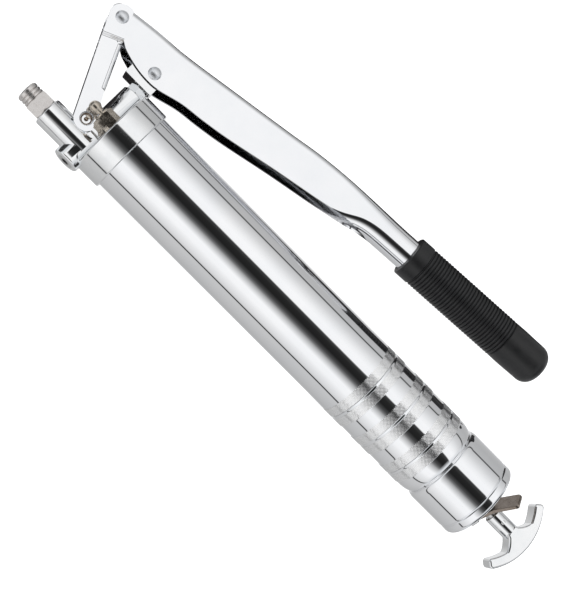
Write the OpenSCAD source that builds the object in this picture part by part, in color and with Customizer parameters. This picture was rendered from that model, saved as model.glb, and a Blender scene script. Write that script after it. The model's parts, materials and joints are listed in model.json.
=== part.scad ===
// Lever-operated grease gun lying on its side.
// The barrel runs along +X from its front seam at the origin, the lever is on the +Y side
// and the pivots stand along Z. All sizes are in millimetres.

/* [Barrel] */
// Outside diameter of the barrel, which takes a 53.5 mm cartridge
barrel_d = 56; // [48:0.5:68]
// Sheet thickness of the barrel
barrel_wall = 1.1; // [0.8:0.05:1.6]
// Length from the front seam to the crimp groove
barrel_len = 271; // [226:1:326]
// Length screwed into the head
thread_len = 9; // [7:0.5:12]
// Depth of the rolled crimp groove
groove_depth = 1.8; // [1.2:0.1:2.4]
// Number of pairs of knurled rings
knurl_pairs = 3; // [1:1:4]
// Distance between two pairs
knurl_pitch = 25; // [20:0.5:30]
// Width of one knurled ring
knurl_w = 6.5; // [4:0.5:8]
// Plain gap inside a pair
knurl_gap = 2; // [1:0.5:3]
// Height of the knurl above the barrel
knurl_h = 0.3; // [0.1:0.05:0.5]

/* [Rear cap] */
// Length of the cap behind the groove
rear_len = 38; // [30:1:46]
// Thickness of its rear wall
rear_wall = 2.5; // [1.5:0.5:4]
// Radius of the rolled bead at the end
bead_r = 3; // [2:0.25:3.5]

/* [Head] */
// Length of the head cap
cap_len = 18; // [16:0.5:24]
// How far the cap stands out past the barrel, on the radius
cap_rise = 2; // [1.5:0.25:4]
// Thickness of the cap's front wall
cap_face = 7; // [6:0.5:9]
// Outside diameter of the cross cylinder that holds the pump
pump_d = 14.6; // [13.6:0.2:17.5]
// Outside diameter of the check valve boss
boss_d = 17.6; // [15:0.2:21]
// Distance from the cap's face to the pump's axis
pump_standoff = 6; // [5:0.5:7.2]
// Outside diameter of the outlet neck
outlet_d = 19.2; // [16:0.2:20.4]
// Length of the outlet neck in front of the pump's axis
outlet_len = 29; // [26:0.5:36]
// Distance of the outlet's axis from the barrel's axis
outlet_drop = 19.5; // [17:0.5:22]

/* [Lever] */
// Thickness of the lever's sheet
lever_t = 1.5; // [1.2:0.1:2]
// Outside width of the lever
lever_w = 18.6; // [18.2:0.2:22.4]
// Distance from the plunger pin to the grip's mouth
lever_reach = 192; // [160:1:232]
// Outward slope of the grip, in degrees
grip_slope = 4.3; // [2:0.1:7]
// Length of the grip
grip_len = 115; // [95:1:138]
// Diameter of the grip
grip_d = 28; // [26:0.5:33.6]
// Number of ribs on the grip
grip_ribs = 30; // [12:1:36]

/* [Link] */
// Sheet thickness of the link
link_t = 1.7; // [1.4:0.1:2]
// Forward distance of the link's lower pin from the pump's axis
link_foot_x = 8.8; // [8.5:0.1:10.5]
// Distance of the link's lower pin below the barrel's axis
link_foot_y = 7.7; // [6.5:0.1:9]
// Forward distance of the lever pin from the plunger pin
pin_span = 37.5; // [34:0.5:44]
// Height of the lever pin above the plunger pin
pin_rise = 9.8; // [8:0.1:12]
// Radius of the lower eye
eye_r = 7.8; // [7.2:0.1:8.6]
// Radius of the upper eye
ear_r = 8.3; // [7.8:0.1:8.8]

/* [Pump] */
// Diameter of the plunger
plunger_d = 8; // [7:0.1:9.4]
// Width of the plunger head along the barrel
head_w = 21; // [18:0.5:24]
// Height of the plunger pin above the plunger head's foot
head_pin_h = 11.3; // [10:0.1:13.5]
// Diameter of the plunger pin
plunger_pin_d = 5.2; // [4.4:0.1:6]
// Diameter of the lever pin
lever_pin_d = 6; // [5:0.1:7]
// Diameter of the link's lower pin
link_pin_d = 8.6; // [7.6:0.1:9]

/* [Rod] */
// Diameter of the follower rod
rod_d = 8; // [7:0.1:9.6]
// Diameter of the T-handle's stem
stem_d = 11.6; // [10.4:0.1:13.8]
// Span of the T-handle
handle_span = 54; // [45:0.2:65]
// Thickness of the T-handle across the lever's plane
handle_t = 12; // [10:0.5:14.5]
// Outer radius of the T-handle's curve
handle_r = 43; // [35.5:0.5:60]
// Angle of the latch about the barrel's axis, in degrees
latch_roll = 46; // [0:1:60]

/* [Fits] */
// Running clearance between a pin or shaft and its hole, on the radius
run_fit = 0.05; // [0.02:0.01:0.09]
// Gap between sheet parts that slide past each other
sheet_gap = 0.4; // [0.3:0.05:0.6]
// Gap between the follower's lips and the barrel
lip_gap = 0.3; // [0.25:0.05:0.5]
// Clearance of screwed and pressed joints, on the radius
seat_fit = 0.02; // [0.01:0.01:0.05]
// Spare room around the plunger pin across its slot
slot_gap = 0.35; // [0.3:0.05:0.5]
// Spare room for the plunger pin along its slot
slot_slack = 2.7; // [2.6:0.1:3.4]

/* [Hidden] */
$fn = 64;
far = 400;

barrel_r = barrel_d / 2;
bore_r = barrel_r - barrel_wall;
thread_r = barrel_r - 0.3;
cap_r = barrel_r + cap_rise;
cap_inner_x = cap_face - cap_len;
gasket_t = 1.9;
groove_r = barrel_r - groove_depth;
neck_r = groove_r - barrel_wall;
shoulder_len = 9;
rear_x = barrel_len + rear_len;
rear_inner_x = rear_x - rear_wall;
spigot_len = 16;
rear_shell = 1.6;

pump_x = -(cap_len + pump_standoff);
pump_r = pump_d / 2;
boss_r = boss_d / 2;
boss_y = -(barrel_r + 5.7);
outlet_r = outlet_d / 2;
outlet_y = -outlet_drop;
outlet_x = pump_x - outlet_len;
outlet_thread_r = 5;
outlet_thread_len = 12;
passage_r = 2.2;

// Pump bore, from its foot up to the gland
plunger_r = plunger_d / 2;
bore_foot_y = outlet_y + 9.5;
port_y = bore_foot_y + 22;
port_r = 2.4;
seal_t = 3.5;
seal_r = plunger_r + 1.5;
gland_top_y = barrel_r + 2.4;
gland_flange = 4.9;
gland_thread = 4;
seal_top_y = gland_top_y - gland_flange - gland_thread;
gland_hex_r = (pump_standoff - 0.3) / cos(30);

// Check valve in the boss
seat_r = 2;
seat_t = 2;
check_ball_r = 3;
chamber_r = 4.2;
chamber_top_y = bore_foot_y - seat_t;
check_ball_y = chamber_top_y - sqrt(check_ball_r * check_ball_r - seat_r * seat_r);
plug_r = 5.2;
plug_len = 7;
plug_y = boss_y + plug_len;

// Pivots in the XY plane
foot_pivot = [pump_x - link_foot_x, -link_foot_y];
plunger_rest_y = gland_top_y + 0.6;
plunger_pivot = [pump_x, plunger_rest_y + head_pin_h];
lever_pivot = plunger_pivot + [-pin_span, pin_rise];
link_vector = lever_pivot - foot_pivot;
link_len = norm(link_vector);
link_angle = atan2(link_vector[1], link_vector[0]);

// Stack of the sheet parts across the pivots, as distances from the middle plane
lever_out = lever_w / 2;
lever_in = lever_out - lever_t;
ear_in = lever_out + sheet_gap;
ear_out = ear_in + link_t;
cheek_out = lever_out;
cheek_in = cheek_out - link_t;
lug_half = cheek_in - sheet_gap;
block_half = lever_in - sheet_gap;
foot_lug_r = eye_r - 1.2;
rivet_head_r = 4.2;
rivet_head_h = 1.8;

// Lever side profile: [distance behind the plunger pin, height above it], stretched to its reach
reach_scale = lever_reach / 192;
function behind(p) = plunger_pivot + [p[0] < 0 ? p[0] * pin_span / 37.5 : p[0] * reach_scale, p[1]];
lever_top = [[-42, 18], [-17, 21.5], [4, 23.5], [84, 37.1], [109, 41.6], [149, 45.8], [190.5, 49.3]];
lever_foot = [[190.5, 27.9], [158, 25.4], [141, 22.5], [123, 18.1], [93, 12.2], [57.6, 4.2], [40, 1.1],
              [24.3, -1.1], [6.4, -5.9], [-3.2, -6], [-24, -1], [-26.9, 1.2], [-31, 2.1],
              [-45.3, 4.9], [-46.9, 16.2]];
tube_h = 21.5;
tube_start = 150;
grip_mouth = behind([192, 38.7]);
grip_depth = grip_len - 6;
grip_r = grip_d / 2;
collar_len = 11;
rib_zone = grip_len * 0.61;
rib_h = 0.7;
grip_round = 9;

// Filler fitting on the head's front face
filler_y = -0.6;
filler_z = ear_out + 4.3;
filler_hex_r = 6.35;
filler_hex_len = 10.5;
filler_thread_r = 4;
filler_shaft_r = 1.6;
filler_tip_r = 3.8;
filler_neck_x = -cap_len - filler_hex_len;
filler_tip_x = filler_neck_x - 2;

// Coupler in front of the outlet
coupler_hex_r = 8.4;
coupler_hex_len = 9.6;
sleeve_r = 7;
sleeve_len = 7.8;
sleeve_x = outlet_x - coupler_hex_len;
mouth_x = sleeve_x - sleeve_len;
mouth_r = 3.9;
mouth_len = 2;
spigot_r = 5.6;
spigot_out = 2.6;
jaw_count = 4;
jaw_r = 5.4;
jaw_bore_r = 3.4;
jaw_travel = 1;
jaw_slot = 0.7;
collet_r = 4.6;

// Rod, follower and latch
rod_r = rod_d / 2;
rod_tip_x = 6.5;
nut_x = 7.6;
nut_t = 4.4;
plate_t = 1.5;
follower_x = nut_x + nut_t + 0.2;
seal_len = 8.5;
follower_end_x = follower_x + 2 * plate_t + seal_len;
plate_r = bore_r - 1.9;
guide_r = 7;
guide_flange_r = 9.5;
guide_flange_x = rear_x + 2;
guide_inner_r = 10.5;
stem_x = rear_x + 11;
stem_r = stem_d / 2;
handle_x = rear_x + 41.8;
handle_tip_r = 3.35;
rod_stroke = barrel_len - spigot_len - follower_end_x - 1.3;
lock_groove_x = guide_flange_x + 3 - rod_stroke;
latch_t = 2.2;
latch_w = 14;
latch_foot = 9.5;
latch_bend = 7;
latch_reach = 22.3;
latch_tilt = 8;
latch_slope = 24;
latch_hinge_x = rear_x + 4.4;
lip_x = latch_hinge_x + latch_t + 0.6;
bracket_w = 10;
spring_wire_r = 1.1;
spring_mean_r = 20;

// Points of an arc from angle a0 to a1 about [cx, cy]
function arc(cx, cy, r, a0, a1, steps = 8) =
    [for (i = [0:steps]) let (a = a0 + (a1 - a0) * i / steps) [cx + r * cos(a), cy + r * sin(a)]];

// Turned solid about the X axis through [0, y, z], from points [x, radius]
module turned(points, y = 0, z = 0) {
    translate([0, y, z])
        rotate([0, 90, 0])
            rotate_extrude($fn = 96)
                polygon([for (p = points) [p[1], p[0]]]);
}

module rod_along_x(x0, x1, r, y = 0, z = 0) {
    translate([x0, y, z])
        rotate([0, 90, 0])
            cylinder(h = x1 - x0, r = r);
}

module rod_along_y(y0, y1, r) {
    translate([pump_x, y0, 0])
        rotate([-90, 0, 0])
            cylinder(h = y1 - y0, r = r);
}

module pin_at(p, half, r) {
    translate([p[0], p[1], -half])
        cylinder(h = 2 * half, r = r);
}

module hexagon_x(x0, x1, corner_r, y, z = 0, turn = 0) {
    translate([x0, y, z])
        rotate([0, 90, 0])
            rotate([0, 0, turn])
                cylinder(h = x1 - x0, r = corner_r, $fn = 6);
}

// A pair of plates at +Z and -Z between two distances from the middle plane
module both_sides(z_in, z_out) {
    for (side = [0, 1])
        mirror([0, 0, side])
            translate([0, 0, z_in])
                linear_extrude(z_out - z_in)
                    children();
}

// A domed rivet: shank through both sides, and a head on each
module rivet(p, shank_r, z_seat) {
    pin_at(p, z_seat, shank_r);
    for (side = [0, 1])
        mirror([0, 0, side])
            translate([p[0], p[1], z_seat])
                rotate_extrude()
                    polygon(concat([[0, 0]], rivet_dome));
}

dome_r = (rivet_head_r * rivet_head_r + rivet_head_h * rivet_head_h) / (2 * rivet_head_h);
dome_angle = asin(rivet_head_r / dome_r);
rivet_dome = arc(0, rivet_head_h - dome_r, dome_r, 90 - dome_angle, 90);

// Coil spring along +X from x0 to x1, about the axis through [y, z]
module coil(x0, x1, mean_r, wire_r, turns, y = 0, z = 0, segments = 12, sides = 6) {
    rings = turns * segments;
    rise = x1 - x0 - 2 * wire_r;
    points = [
        for (i = [0:rings], k = [0:sides - 1])
            let (a = 360 * i / segments, b = 360 * k / sides, r = mean_r + wire_r * cos(b))
                [x0 + wire_r + rise * i / rings + wire_r * sin(b), y + r * cos(a), z + r * sin(a)]
    ];
    skin = [
        for (i = [0:rings - 1], k = [0:sides - 1])
            let (n = (k + 1) % sides)
                [i * sides + k, i * sides + n, (i + 1) * sides + n, (i + 1) * sides + k]
    ];
    start = [[for (k = [sides - 1:-1:0]) k]];
    end = [[for (k = [0:sides - 1]) rings * sides + k]];
    polyhedron(points, concat(skin, start, end), convexity = 10);
}

// ---- Head ----

module head_shell() {
    turned([
        [-cap_len, 0], [-cap_len, cap_r - 1.2], [-cap_len + 1.2, cap_r], [-0.6, cap_r],
        [0, cap_r - 0.6], [0, thread_r + run_fit], [cap_inner_x, thread_r + run_fit], [cap_inner_x, 0]
    ]);
    rod_along_y(outlet_y, seal_top_y + gland_thread, pump_r);
    rod_along_y(boss_y, bore_foot_y, boss_r);
    turned([
        [outlet_x, 0], [outlet_x, outlet_r - 0.8], [outlet_x + 0.8, outlet_r],
        [pump_x + 3, outlet_r], [pump_x + 3, 0]
    ], outlet_y);
    translate([0, 0, -lug_half])
        linear_extrude(2 * lug_half) {
            translate(foot_pivot)
                circle(foot_lug_r);
            polygon([
                foot_pivot + [0, foot_lug_r], [pump_x, foot_pivot[1] + foot_lug_r],
                [pump_x, foot_pivot[1] - foot_lug_r], foot_pivot - [0, foot_lug_r]
            ]);
        }
}

module pump_head() {
    color("lightgray")
        difference() {
            head_shell();
            rod_along_y(bore_foot_y, far, plunger_r + run_fit);
            rod_along_y(seal_top_y - seal_t, far, seal_r);
            rod_along_y(chamber_top_y - 1, bore_foot_y + 1, seat_r);
            rod_along_y(plug_y - 0.3, chamber_top_y, chamber_r);
            rod_along_y(-far, plug_y, plug_r);
            rod_along_x(outlet_x - 1, pump_x, passage_r, outlet_y);
            rod_along_x(outlet_x - 1, outlet_x + outlet_thread_len, outlet_thread_r, outlet_y);
            rod_along_x(pump_x, 0, port_r, port_y);
            pin_at(foot_pivot, far, link_pin_d / 2 + seat_fit);
            both_sides(lug_half, far)
                translate(foot_pivot)
                    circle(eye_r + 0.9);
            rod_along_x(-cap_len - 1, 0, filler_thread_r, filler_y, filler_z);
        }
}

module gland_nut() {
    color("gainsboro")
        difference() {
            union() {
                translate([pump_x, gland_top_y - gland_flange, 0])
                    rotate([-90, 30, 0])
                        cylinder(h = gland_flange, r = gland_hex_r, $fn = 6);
                rod_along_y(seal_top_y, gland_top_y - gland_flange, seal_r - seat_fit);
            }
            rod_along_y(0, far, plunger_r + run_fit);
        }
}

module plunger_seal() {
    color("dimgray")
        difference() {
            rod_along_y(seal_top_y - seal_t, seal_top_y, seal_r - seat_fit);
            rod_along_y(0, far, plunger_r + run_fit);
        }
}

module check_plug() {
    color("silver")
        difference() {
            rod_along_y(boss_y, plug_y, plug_r - seat_fit);
            translate([pump_x, boss_y - 1, 0])
                rotate([-90, 0, 0])
                    cylinder(h = 5, r = 2.9, $fn = 6);
        }
}

module check_spring() {
    color("dimgray")
        translate([pump_x, 0, 0])
            rotate([0, 0, 90])
                coil(plug_y + 0.05, check_ball_y - check_ball_r * 0.75, 2.6, 0.4, 4,
                    segments = 10, sides = 5);
}

module check_ball() {
    color("silver")
        translate([pump_x, check_ball_y, 0])
            sphere(check_ball_r);
}

// ---- Filler fitting ----

module filler_body() {
    color("tan")
        difference() {
            union() {
                hexagon_x(filler_neck_x + 1.2, -cap_len, filler_hex_r, filler_y, filler_z, 30);
                turned([
                    [filler_neck_x, 0], [filler_neck_x, 4.4], [filler_neck_x + 1.2, 5.4],
                    [filler_neck_x + 1.2, 0]
                ], filler_y, filler_z);
                rod_along_x(-cap_len - 2, cap_inner_x, filler_thread_r - seat_fit, filler_y, filler_z);
            }
            rod_along_x(-far, 0, filler_shaft_r + run_fit, filler_y, filler_z);
            rod_along_x(filler_neck_x + 3, 0, 2.9, filler_y, filler_z);
        }
}

module filler_stem() {
    color("burlywood") {
        turned(concat(
            [[filler_tip_x + 0.6, 0]],
            [[filler_tip_x + 0.6, 2.9], [filler_tip_x, 3.3]],
            arc(filler_tip_x - 3.2, 0, filler_tip_r, 60, 180)
        ), filler_y, filler_z);
        rod_along_x(filler_tip_x, -cap_len + 2, filler_shaft_r, filler_y, filler_z);
        rod_along_x(-cap_len + 2, -cap_len + 3.6, 2.6, filler_y, filler_z);
    }
}

module filler_spring() {
    color("dimgray")
        coil(-cap_len + 3.9, cap_inner_x - 0.2, 2.1, 0.25, 4, filler_y, filler_z, segments = 10, sides = 5);
}

// ---- Coupler ----

module coupler_body() {
    color("darkgray")
        difference() {
            union() {
                hexagon_x(sleeve_x, outlet_x, coupler_hex_r, outlet_y, 0, -15);
                rod_along_x(outlet_x, outlet_x + outlet_thread_len - 1, outlet_thread_r - seat_fit, outlet_y);
                rod_along_x(sleeve_x - spigot_out, sleeve_x, spigot_r, outlet_y);
            }
            rod_along_x(-far, outlet_x - 2, collet_r, outlet_y);
            rod_along_x(-far, 0, passage_r - 0.7, outlet_y);
        }
}

module coupler_sleeve() {
    color("darkgray")
        difference() {
            turned([
                [mouth_x, 0], [mouth_x, sleeve_r - 1.2], [mouth_x + 1.2, sleeve_r], [mouth_x + 2.2, sleeve_r],
                [mouth_x + 2.6, sleeve_r - 0.4], [mouth_x + 3, sleeve_r], [mouth_x + 4.4, sleeve_r],
                [mouth_x + 4.8, sleeve_r - 0.4], [mouth_x + 5.2, sleeve_r], [sleeve_x, sleeve_r],
                [sleeve_x, 0]
            ], outlet_y);
            rod_along_x(mouth_x - 1, mouth_x + mouth_len + 1, mouth_r, outlet_y);
            rod_along_x(mouth_x + mouth_len, sleeve_x + 1, spigot_r + seat_fit, outlet_y);
        }
}

module coupler_jaws() {
    front = mouth_x + mouth_len + 0.2;
    back = sleeve_x - spigot_out - jaw_travel - 0.2;
    color("gray")
        difference() {
            union() {
                rod_along_x(front, back, jaw_r, outlet_y);
                rod_along_x(back, sleeve_x + 2, collet_r - 0.3, outlet_y);
            }
            rod_along_x(-far, 0, jaw_bore_r, outlet_y);
            for (i = [0:jaw_count / 2 - 1])
                translate([front - 1, outlet_y, 0])
                    rotate([45 + i * 360 / jaw_count, 0, 0])
                        translate([0, -far / 2, -jaw_slot / 2])
                            cube([back - front - 1 + 1.6, far, jaw_slot]);
        }
}

module coupler_seal() {
    color("black")
        difference() {
            rod_along_x(sleeve_x - 1.4, sleeve_x + 1.6, jaw_bore_r - seat_fit, outlet_y);
            rod_along_x(-far, 0, 0.9, outlet_y);
        }
}

module coupler_spring() {
    color("dimgray")
        coil(sleeve_x + 2.1, outlet_x - 2.1, 3.4, 0.4, 4, outlet_y, 0, segments = 10, sides = 5);
}

// ---- Lever and linkage ----

module link_pin() {
    color("gray")
        difference() {
            pin_at(foot_pivot, cheek_out - 0.4, link_pin_d / 2);
            both_sides(cheek_out - 3.4, far)
                translate(foot_pivot)
                    circle(link_pin_d / 2 - 1.5);
        }
}

// Moves children into the link's own plane: origin at the lower pin, +X towards the lever pin
module along_link() {
    translate(foot_pivot)
        rotate([0, 0, link_angle])
            children();
}

joggle = 12.7;
web_start = 21;
web_end = link_len - 16;

module link_cheek_shape() {
    along_link() {
        circle(eye_r);
        polygon([
            [0, eye_r], [link_len - joggle, eye_r], [link_len - joggle, -5.6], [web_start, -4.8],
            [5.5, -5.5], [0, 0]
        ]);
    }
}

module link_ear_shape() {
    along_link() {
        translate([link_len, 0])
            circle(ear_r);
        polygon([[link_len - joggle - link_t, eye_r], [link_len, ear_r], [link_len, -5.6],
                 [link_len - joggle - link_t, -5.6]]);
    }
}

module link() {
    color("whitesmoke")
        difference() {
            union() {
                both_sides(cheek_in, cheek_out)
                    link_cheek_shape();
                both_sides(ear_in, ear_out)
                    link_ear_shape();
                both_sides(cheek_in, ear_out)
                    along_link()
                        translate([link_len - joggle - link_t, -5.6])
                            square([link_t, eye_r + 5.6]);
                translate([0, 0, -cheek_out])
                    linear_extrude(2 * cheek_out)
                        along_link()
                            polygon([[web_start, -4.8], [web_end, -5.45], [web_end, -5.45 + link_t],
                                     [web_start, -4.8 + link_t]]);
            }
            pin_at(foot_pivot, far, link_pin_d / 2 + run_fit);
            pin_at(lever_pivot, far, lever_pin_d / 2 + seat_fit);
        }
}

module lever_pin() {
    color("whitesmoke")
        rivet(lever_pivot, lever_pin_d / 2, ear_out);
}

module lever_spacer() {
    color("silver")
        difference() {
            pin_at(lever_pivot, lever_in - sheet_gap / 2, lever_pin_d / 2 + 1.8);
            pin_at(lever_pivot, far, lever_pin_d / 2 + seat_fit);
        }
}

function lowered(points, depth) = [for (p = points) behind(p) - [0, depth]];

module lever_side_shape() {
    polygon(concat(lowered(lever_top, 0), lowered(lever_foot, 0)));
}

module lever_channel_shape() {
    floor_y = plunger_pivot[1] - 40;
    top = lowered(lever_top, lever_t * 1.03);
    polygon(concat(
        [[top[0][0] - 10, floor_y], [top[0][0] - 10, top[0][1] - 1.2]], top,
        [[top[len(top) - 1][0], floor_y]]
    ));
}

// Outline of the rolled tube, across its axis
module tube_shape(inset) {
    straight = tube_h / 2 - lever_out;
    r = lever_out - inset;
    for (s = [-1, 1])
        translate([0, s * straight])
            circle(r);
    translate([-r, -straight])
        square([2 * r, 2 * straight]);
}

// Puts children, drawn about +Z, on the grip's axis with z = 0 at its mouth
module along_grip() {
    translate([grip_mouth[0], grip_mouth[1], 0])
        rotate([0, 0, grip_slope])
            rotate([0, 90, 0])
                children();
}

module lever() {
    tail = lever_reach - tube_start * reach_scale;
    color("whitesmoke")
        difference() {
            union() {
                difference() {
                    translate([0, 0, -lever_out])
                        linear_extrude(lever_w)
                            lever_side_shape();
                    translate([0, 0, -lever_in])
                        linear_extrude(2 * lever_in)
                            lever_channel_shape();
                }
                along_grip()
                    translate([0, 0, -tail])
                        linear_extrude(tail + grip_depth)
                            tube_shape(0);
            }
            along_grip()
                translate([0, 0, -tail - 1])
                    linear_extrude(tail + far)
                        tube_shape(lever_t);
            pin_at(lever_pivot, far, lever_pin_d / 2 + run_fit);
            pin_at(plunger_pivot, far, plunger_pin_d / 2 + seat_fit);
        }
}

// Ribbed outside of the grip, as [radius, distance from the mouth]
rib_pitch = rib_zone / grip_ribs;
rib_points = [
    for (i = [0:grip_ribs - 1])
        each [
            [grip_r - rib_h, collar_len + i * rib_pitch + 0.1],
            [grip_r - 0.15, collar_len + (i + 0.3) * rib_pitch],
            [grip_r - 0.15, collar_len + (i + 0.7) * rib_pitch],
            [grip_r - rib_h, collar_len + (i + 1) * rib_pitch - 0.1]
        ]
];

module grip() {
    color("black")
        along_grip()
            difference() {
                rotate_extrude($fn = 72)
                    polygon(concat(
                        [[0, 0], [grip_r - 0.6, 0], [grip_r, 0.8], [grip_r, collar_len - 1]],
                        rib_points,
                        arc(grip_r - grip_round, grip_len - grip_round, grip_round, 0, 90),
                        [[0, grip_len]]
                    ));
                translate([0, 0, -1])
                    linear_extrude(grip_depth + 2)
                        tube_shape(-run_fit);
            }
}

module plunger_pin() {
    color("whitesmoke")
        rivet(plunger_pivot, plunger_pin_d / 2, lever_out);
}

module plunger() {
    color("silver")
        rod_along_y(bore_foot_y + 0.5, plunger_rest_y + 6, plunger_r);
}

module plunger_head() {
    front = pump_x - head_w * 0.64;
    slot_r = plunger_pin_d / 2 + slot_gap;
    top_y = plunger_pivot[1] + slot_r + 3.2;
    color("gainsboro")
        difference() {
            translate([0, 0, -block_half])
                linear_extrude(2 * block_half)
                    polygon([
                        [front, plunger_rest_y], [front + head_w, plunger_rest_y],
                        [front + head_w, top_y - 3], [front + head_w - 3, top_y],
                        [pump_x - 4, top_y], [front, plunger_rest_y + 7]
                    ]);
            rod_along_y(0, plunger_rest_y + 6.2, plunger_r + seat_fit);
            for (dx = [0, slot_slack])
                pin_at(plunger_pivot + [dx, 0], far, slot_r);
            translate([pump_x, plunger_pivot[1] - slot_r, -far / 2])
                cube([slot_slack, 2 * slot_r, far]);
            rod_along_x(front - 1, pump_x, 1.6, plunger_rest_y + 3);
        }
}

module head_screw() {
    front = pump_x - head_w * 0.64;
    color("dimgray")
        rod_along_x(front + 0.5, pump_x - plunger_r - 0.1, 1.6 - seat_fit, plunger_rest_y + 3);
}

// ---- Barrel and rear cap ----

module barrel_gasket() {
    color("dimgray")
        difference() {
            rod_along_x(cap_inner_x, cap_inner_x + gasket_t, thread_r - 0.2);
            rod_along_x(-far, far, thread_r - 4.2);
        }
}

function knurl_points() = [
    for (i = [0:knurl_pairs - 1], side = [0, 1])
        let (x = barrel_len - 75.6 + (i + 3 - knurl_pairs) * knurl_pitch + side * (knurl_w + knurl_gap))
            each [[x, barrel_r], [x + 0.2, barrel_r + knurl_h], [x + knurl_w - 0.2, barrel_r + knurl_h],
                  [x + knurl_w, barrel_r]]
];

module barrel() {
    color("lightsteelblue")
        turned(concat(
            [[-thread_len, bore_r], [-thread_len, thread_r], [0, thread_r], [0, barrel_r]],
            knurl_points(),
            [[barrel_len - shoulder_len, barrel_r], [barrel_len - shoulder_len + 2.6, barrel_r - 0.15],
             [barrel_len - 3.4, barrel_r - 0.8], [barrel_len - 1, groove_r], [barrel_len, groove_r],
             [barrel_len, neck_r], [barrel_len - 2, neck_r], [barrel_len - 6, bore_r]]
        ));
}

module rear_cap() {
    inner_r = neck_r - rear_shell;
    wide_r = barrel_r - rear_shell;
    color("lightsteelblue")
        turned(concat(
            [[barrel_len - spigot_len, inner_r], [barrel_len - spigot_len, bore_r - run_fit],
             [barrel_len - 6.2, bore_r - run_fit], [barrel_len - 2.2, neck_r - run_fit],
             [barrel_len + 0.1, neck_r - run_fit], [barrel_len + 0.1, groove_r], [barrel_len + 1, groove_r],
             [barrel_len + 3, barrel_r - 0.6], [barrel_len + 5, barrel_r],
             [rear_x - 2 * bead_r - 2.6, barrel_r],
             [rear_x - 2 * bead_r - 1.4, barrel_r - 0.8], [rear_x - 2 * bead_r, barrel_r - 0.4]],
            arc(rear_x - bead_r, barrel_r - bead_r, bead_r, 90, 0),
            [[rear_x, guide_r + seat_fit], [rear_inner_x, guide_r + seat_fit], [rear_inner_x, wide_r],
             [barrel_len + 6, wide_r], [barrel_len + 2, inner_r]]
        ));
}

// ---- Rod, follower and latch ----

// Puts children in the latch's plane, where +Y points along the tab
module along_latch() {
    rotate([latch_roll, 0, 0])
        children();
}

module rod_guide() {
    color("silver")
        difference() {
            union() {
                rod_along_x(rear_inner_x - 2, rear_inner_x, guide_inner_r);
                rod_along_x(rear_inner_x, rear_x, guide_r);
                rod_along_x(rear_x, guide_flange_x, guide_flange_r);
                along_latch()
                    translate([0, 0, -bracket_w / 2])
                        linear_extrude(bracket_w)
                            polygon([
                                [rear_x, -latch_foot - 4.2], [lip_x + 1.8, -latch_foot - 4.2],
                                [lip_x + 1.8, -latch_foot + 1.5], [lip_x, -latch_foot + 1.5],
                                [lip_x, -latch_foot - 0.8], [guide_flange_x, -latch_foot - 0.8],
                                [guide_flange_x, -guide_r], [rear_x, -guide_r]
                            ]);
            }
            rod_along_x(-far, far, rod_r + run_fit);
        }
}

// Side profile of the latch: a plate leaning back by latch_tilt, then the bent tab
module latch_shape() {
    knee = latch_foot + latch_bend;
    rise = latch_reach - latch_bend;
    knee_x = knee * tan(latch_tilt);
    polygon([
        [0, 0], [knee_x, knee], [knee_x + rise * tan(latch_slope), knee + rise],
        [knee_x + rise * tan(latch_slope) + latch_t * cos(latch_slope),
         knee + rise - latch_t * sin(latch_slope)],
        [knee_x + latch_t * 1.05, knee - latch_t * 0.4], [latch_t, -0.3]
    ]);
}

module lock_latch() {
    color("rosybrown")
        along_latch()
            difference() {
                translate([latch_hinge_x, -latch_foot, -latch_w / 2])
                    linear_extrude(latch_w)
                        latch_shape();
                rod_along_x(0, far, rod_r + 0.5);
            }
}

module latch_spring() {
    color("dimgray")
        coil(guide_flange_x + 0.05, latch_hinge_x - 0.05, 6.3, 0.4, 2, segments = 16, sides = 5);
}

module rod_nut() {
    color("silver")
        difference() {
            hexagon_x(nut_x, nut_x + nut_t, 7.5, 0);
            rod_along_x(-far, far, rod_r + seat_fit);
        }
}

module follower_plate(x) {
    difference() {
        turned([
            [x, 0], [x, plate_r - 1], [x + plate_t / 2, plate_r], [x + plate_t, plate_r - 1], [x + plate_t, 0]
        ]);
        rod_along_x(-far, far, rod_r + run_fit);
    }
}

module front_plate() {
    color("silver")
        follower_plate(follower_x);
}

module follower_seal() {
    x = follower_x + plate_t;
    lip_r = bore_r - lip_gap;
    color("dimgray")
        difference() {
            turned([
                [x, 0], [x, lip_r - 2], [x + 0.6, lip_r], [x + 1.4, lip_r], [x + 2.4, lip_r - 0.9],
                [x + seal_len - 2.4, lip_r - 0.9], [x + seal_len - 1.4, lip_r], [x + seal_len - 0.6, lip_r],
                [x + seal_len, lip_r - 2], [x + seal_len, 0]
            ]);
            rod_along_x(-far, far, rod_r + run_fit);
        }
}

module rear_plate() {
    color("silver")
        follower_plate(follower_x + plate_t + seal_len);
}

module rod_clip() {
    x = follower_end_x + 0.2;
    color("dimgray")
        difference() {
            rod_along_x(x, x + 1.5, rod_r + 2.5);
            rod_along_x(-far, far, rod_r + seat_fit);
        }
}

module follower_spring() {
    color("dimgray")
        coil(follower_end_x + 0.1, rear_inner_x - 0.1, spring_mean_r, spring_wire_r, 18);
}

module follower_rod() {
    color("silver")
        difference() {
            rod_along_x(rod_tip_x, handle_x - 8, rod_r);
            difference() {
                rod_along_x(lock_groove_x, lock_groove_x + 3, rod_r + 1);
                rod_along_x(lock_groove_x, lock_groove_x + 3, rod_r - 0.8);
            }
            pin_at([stem_x + 7.5, 0], far, 1.5);
        }
}

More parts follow.
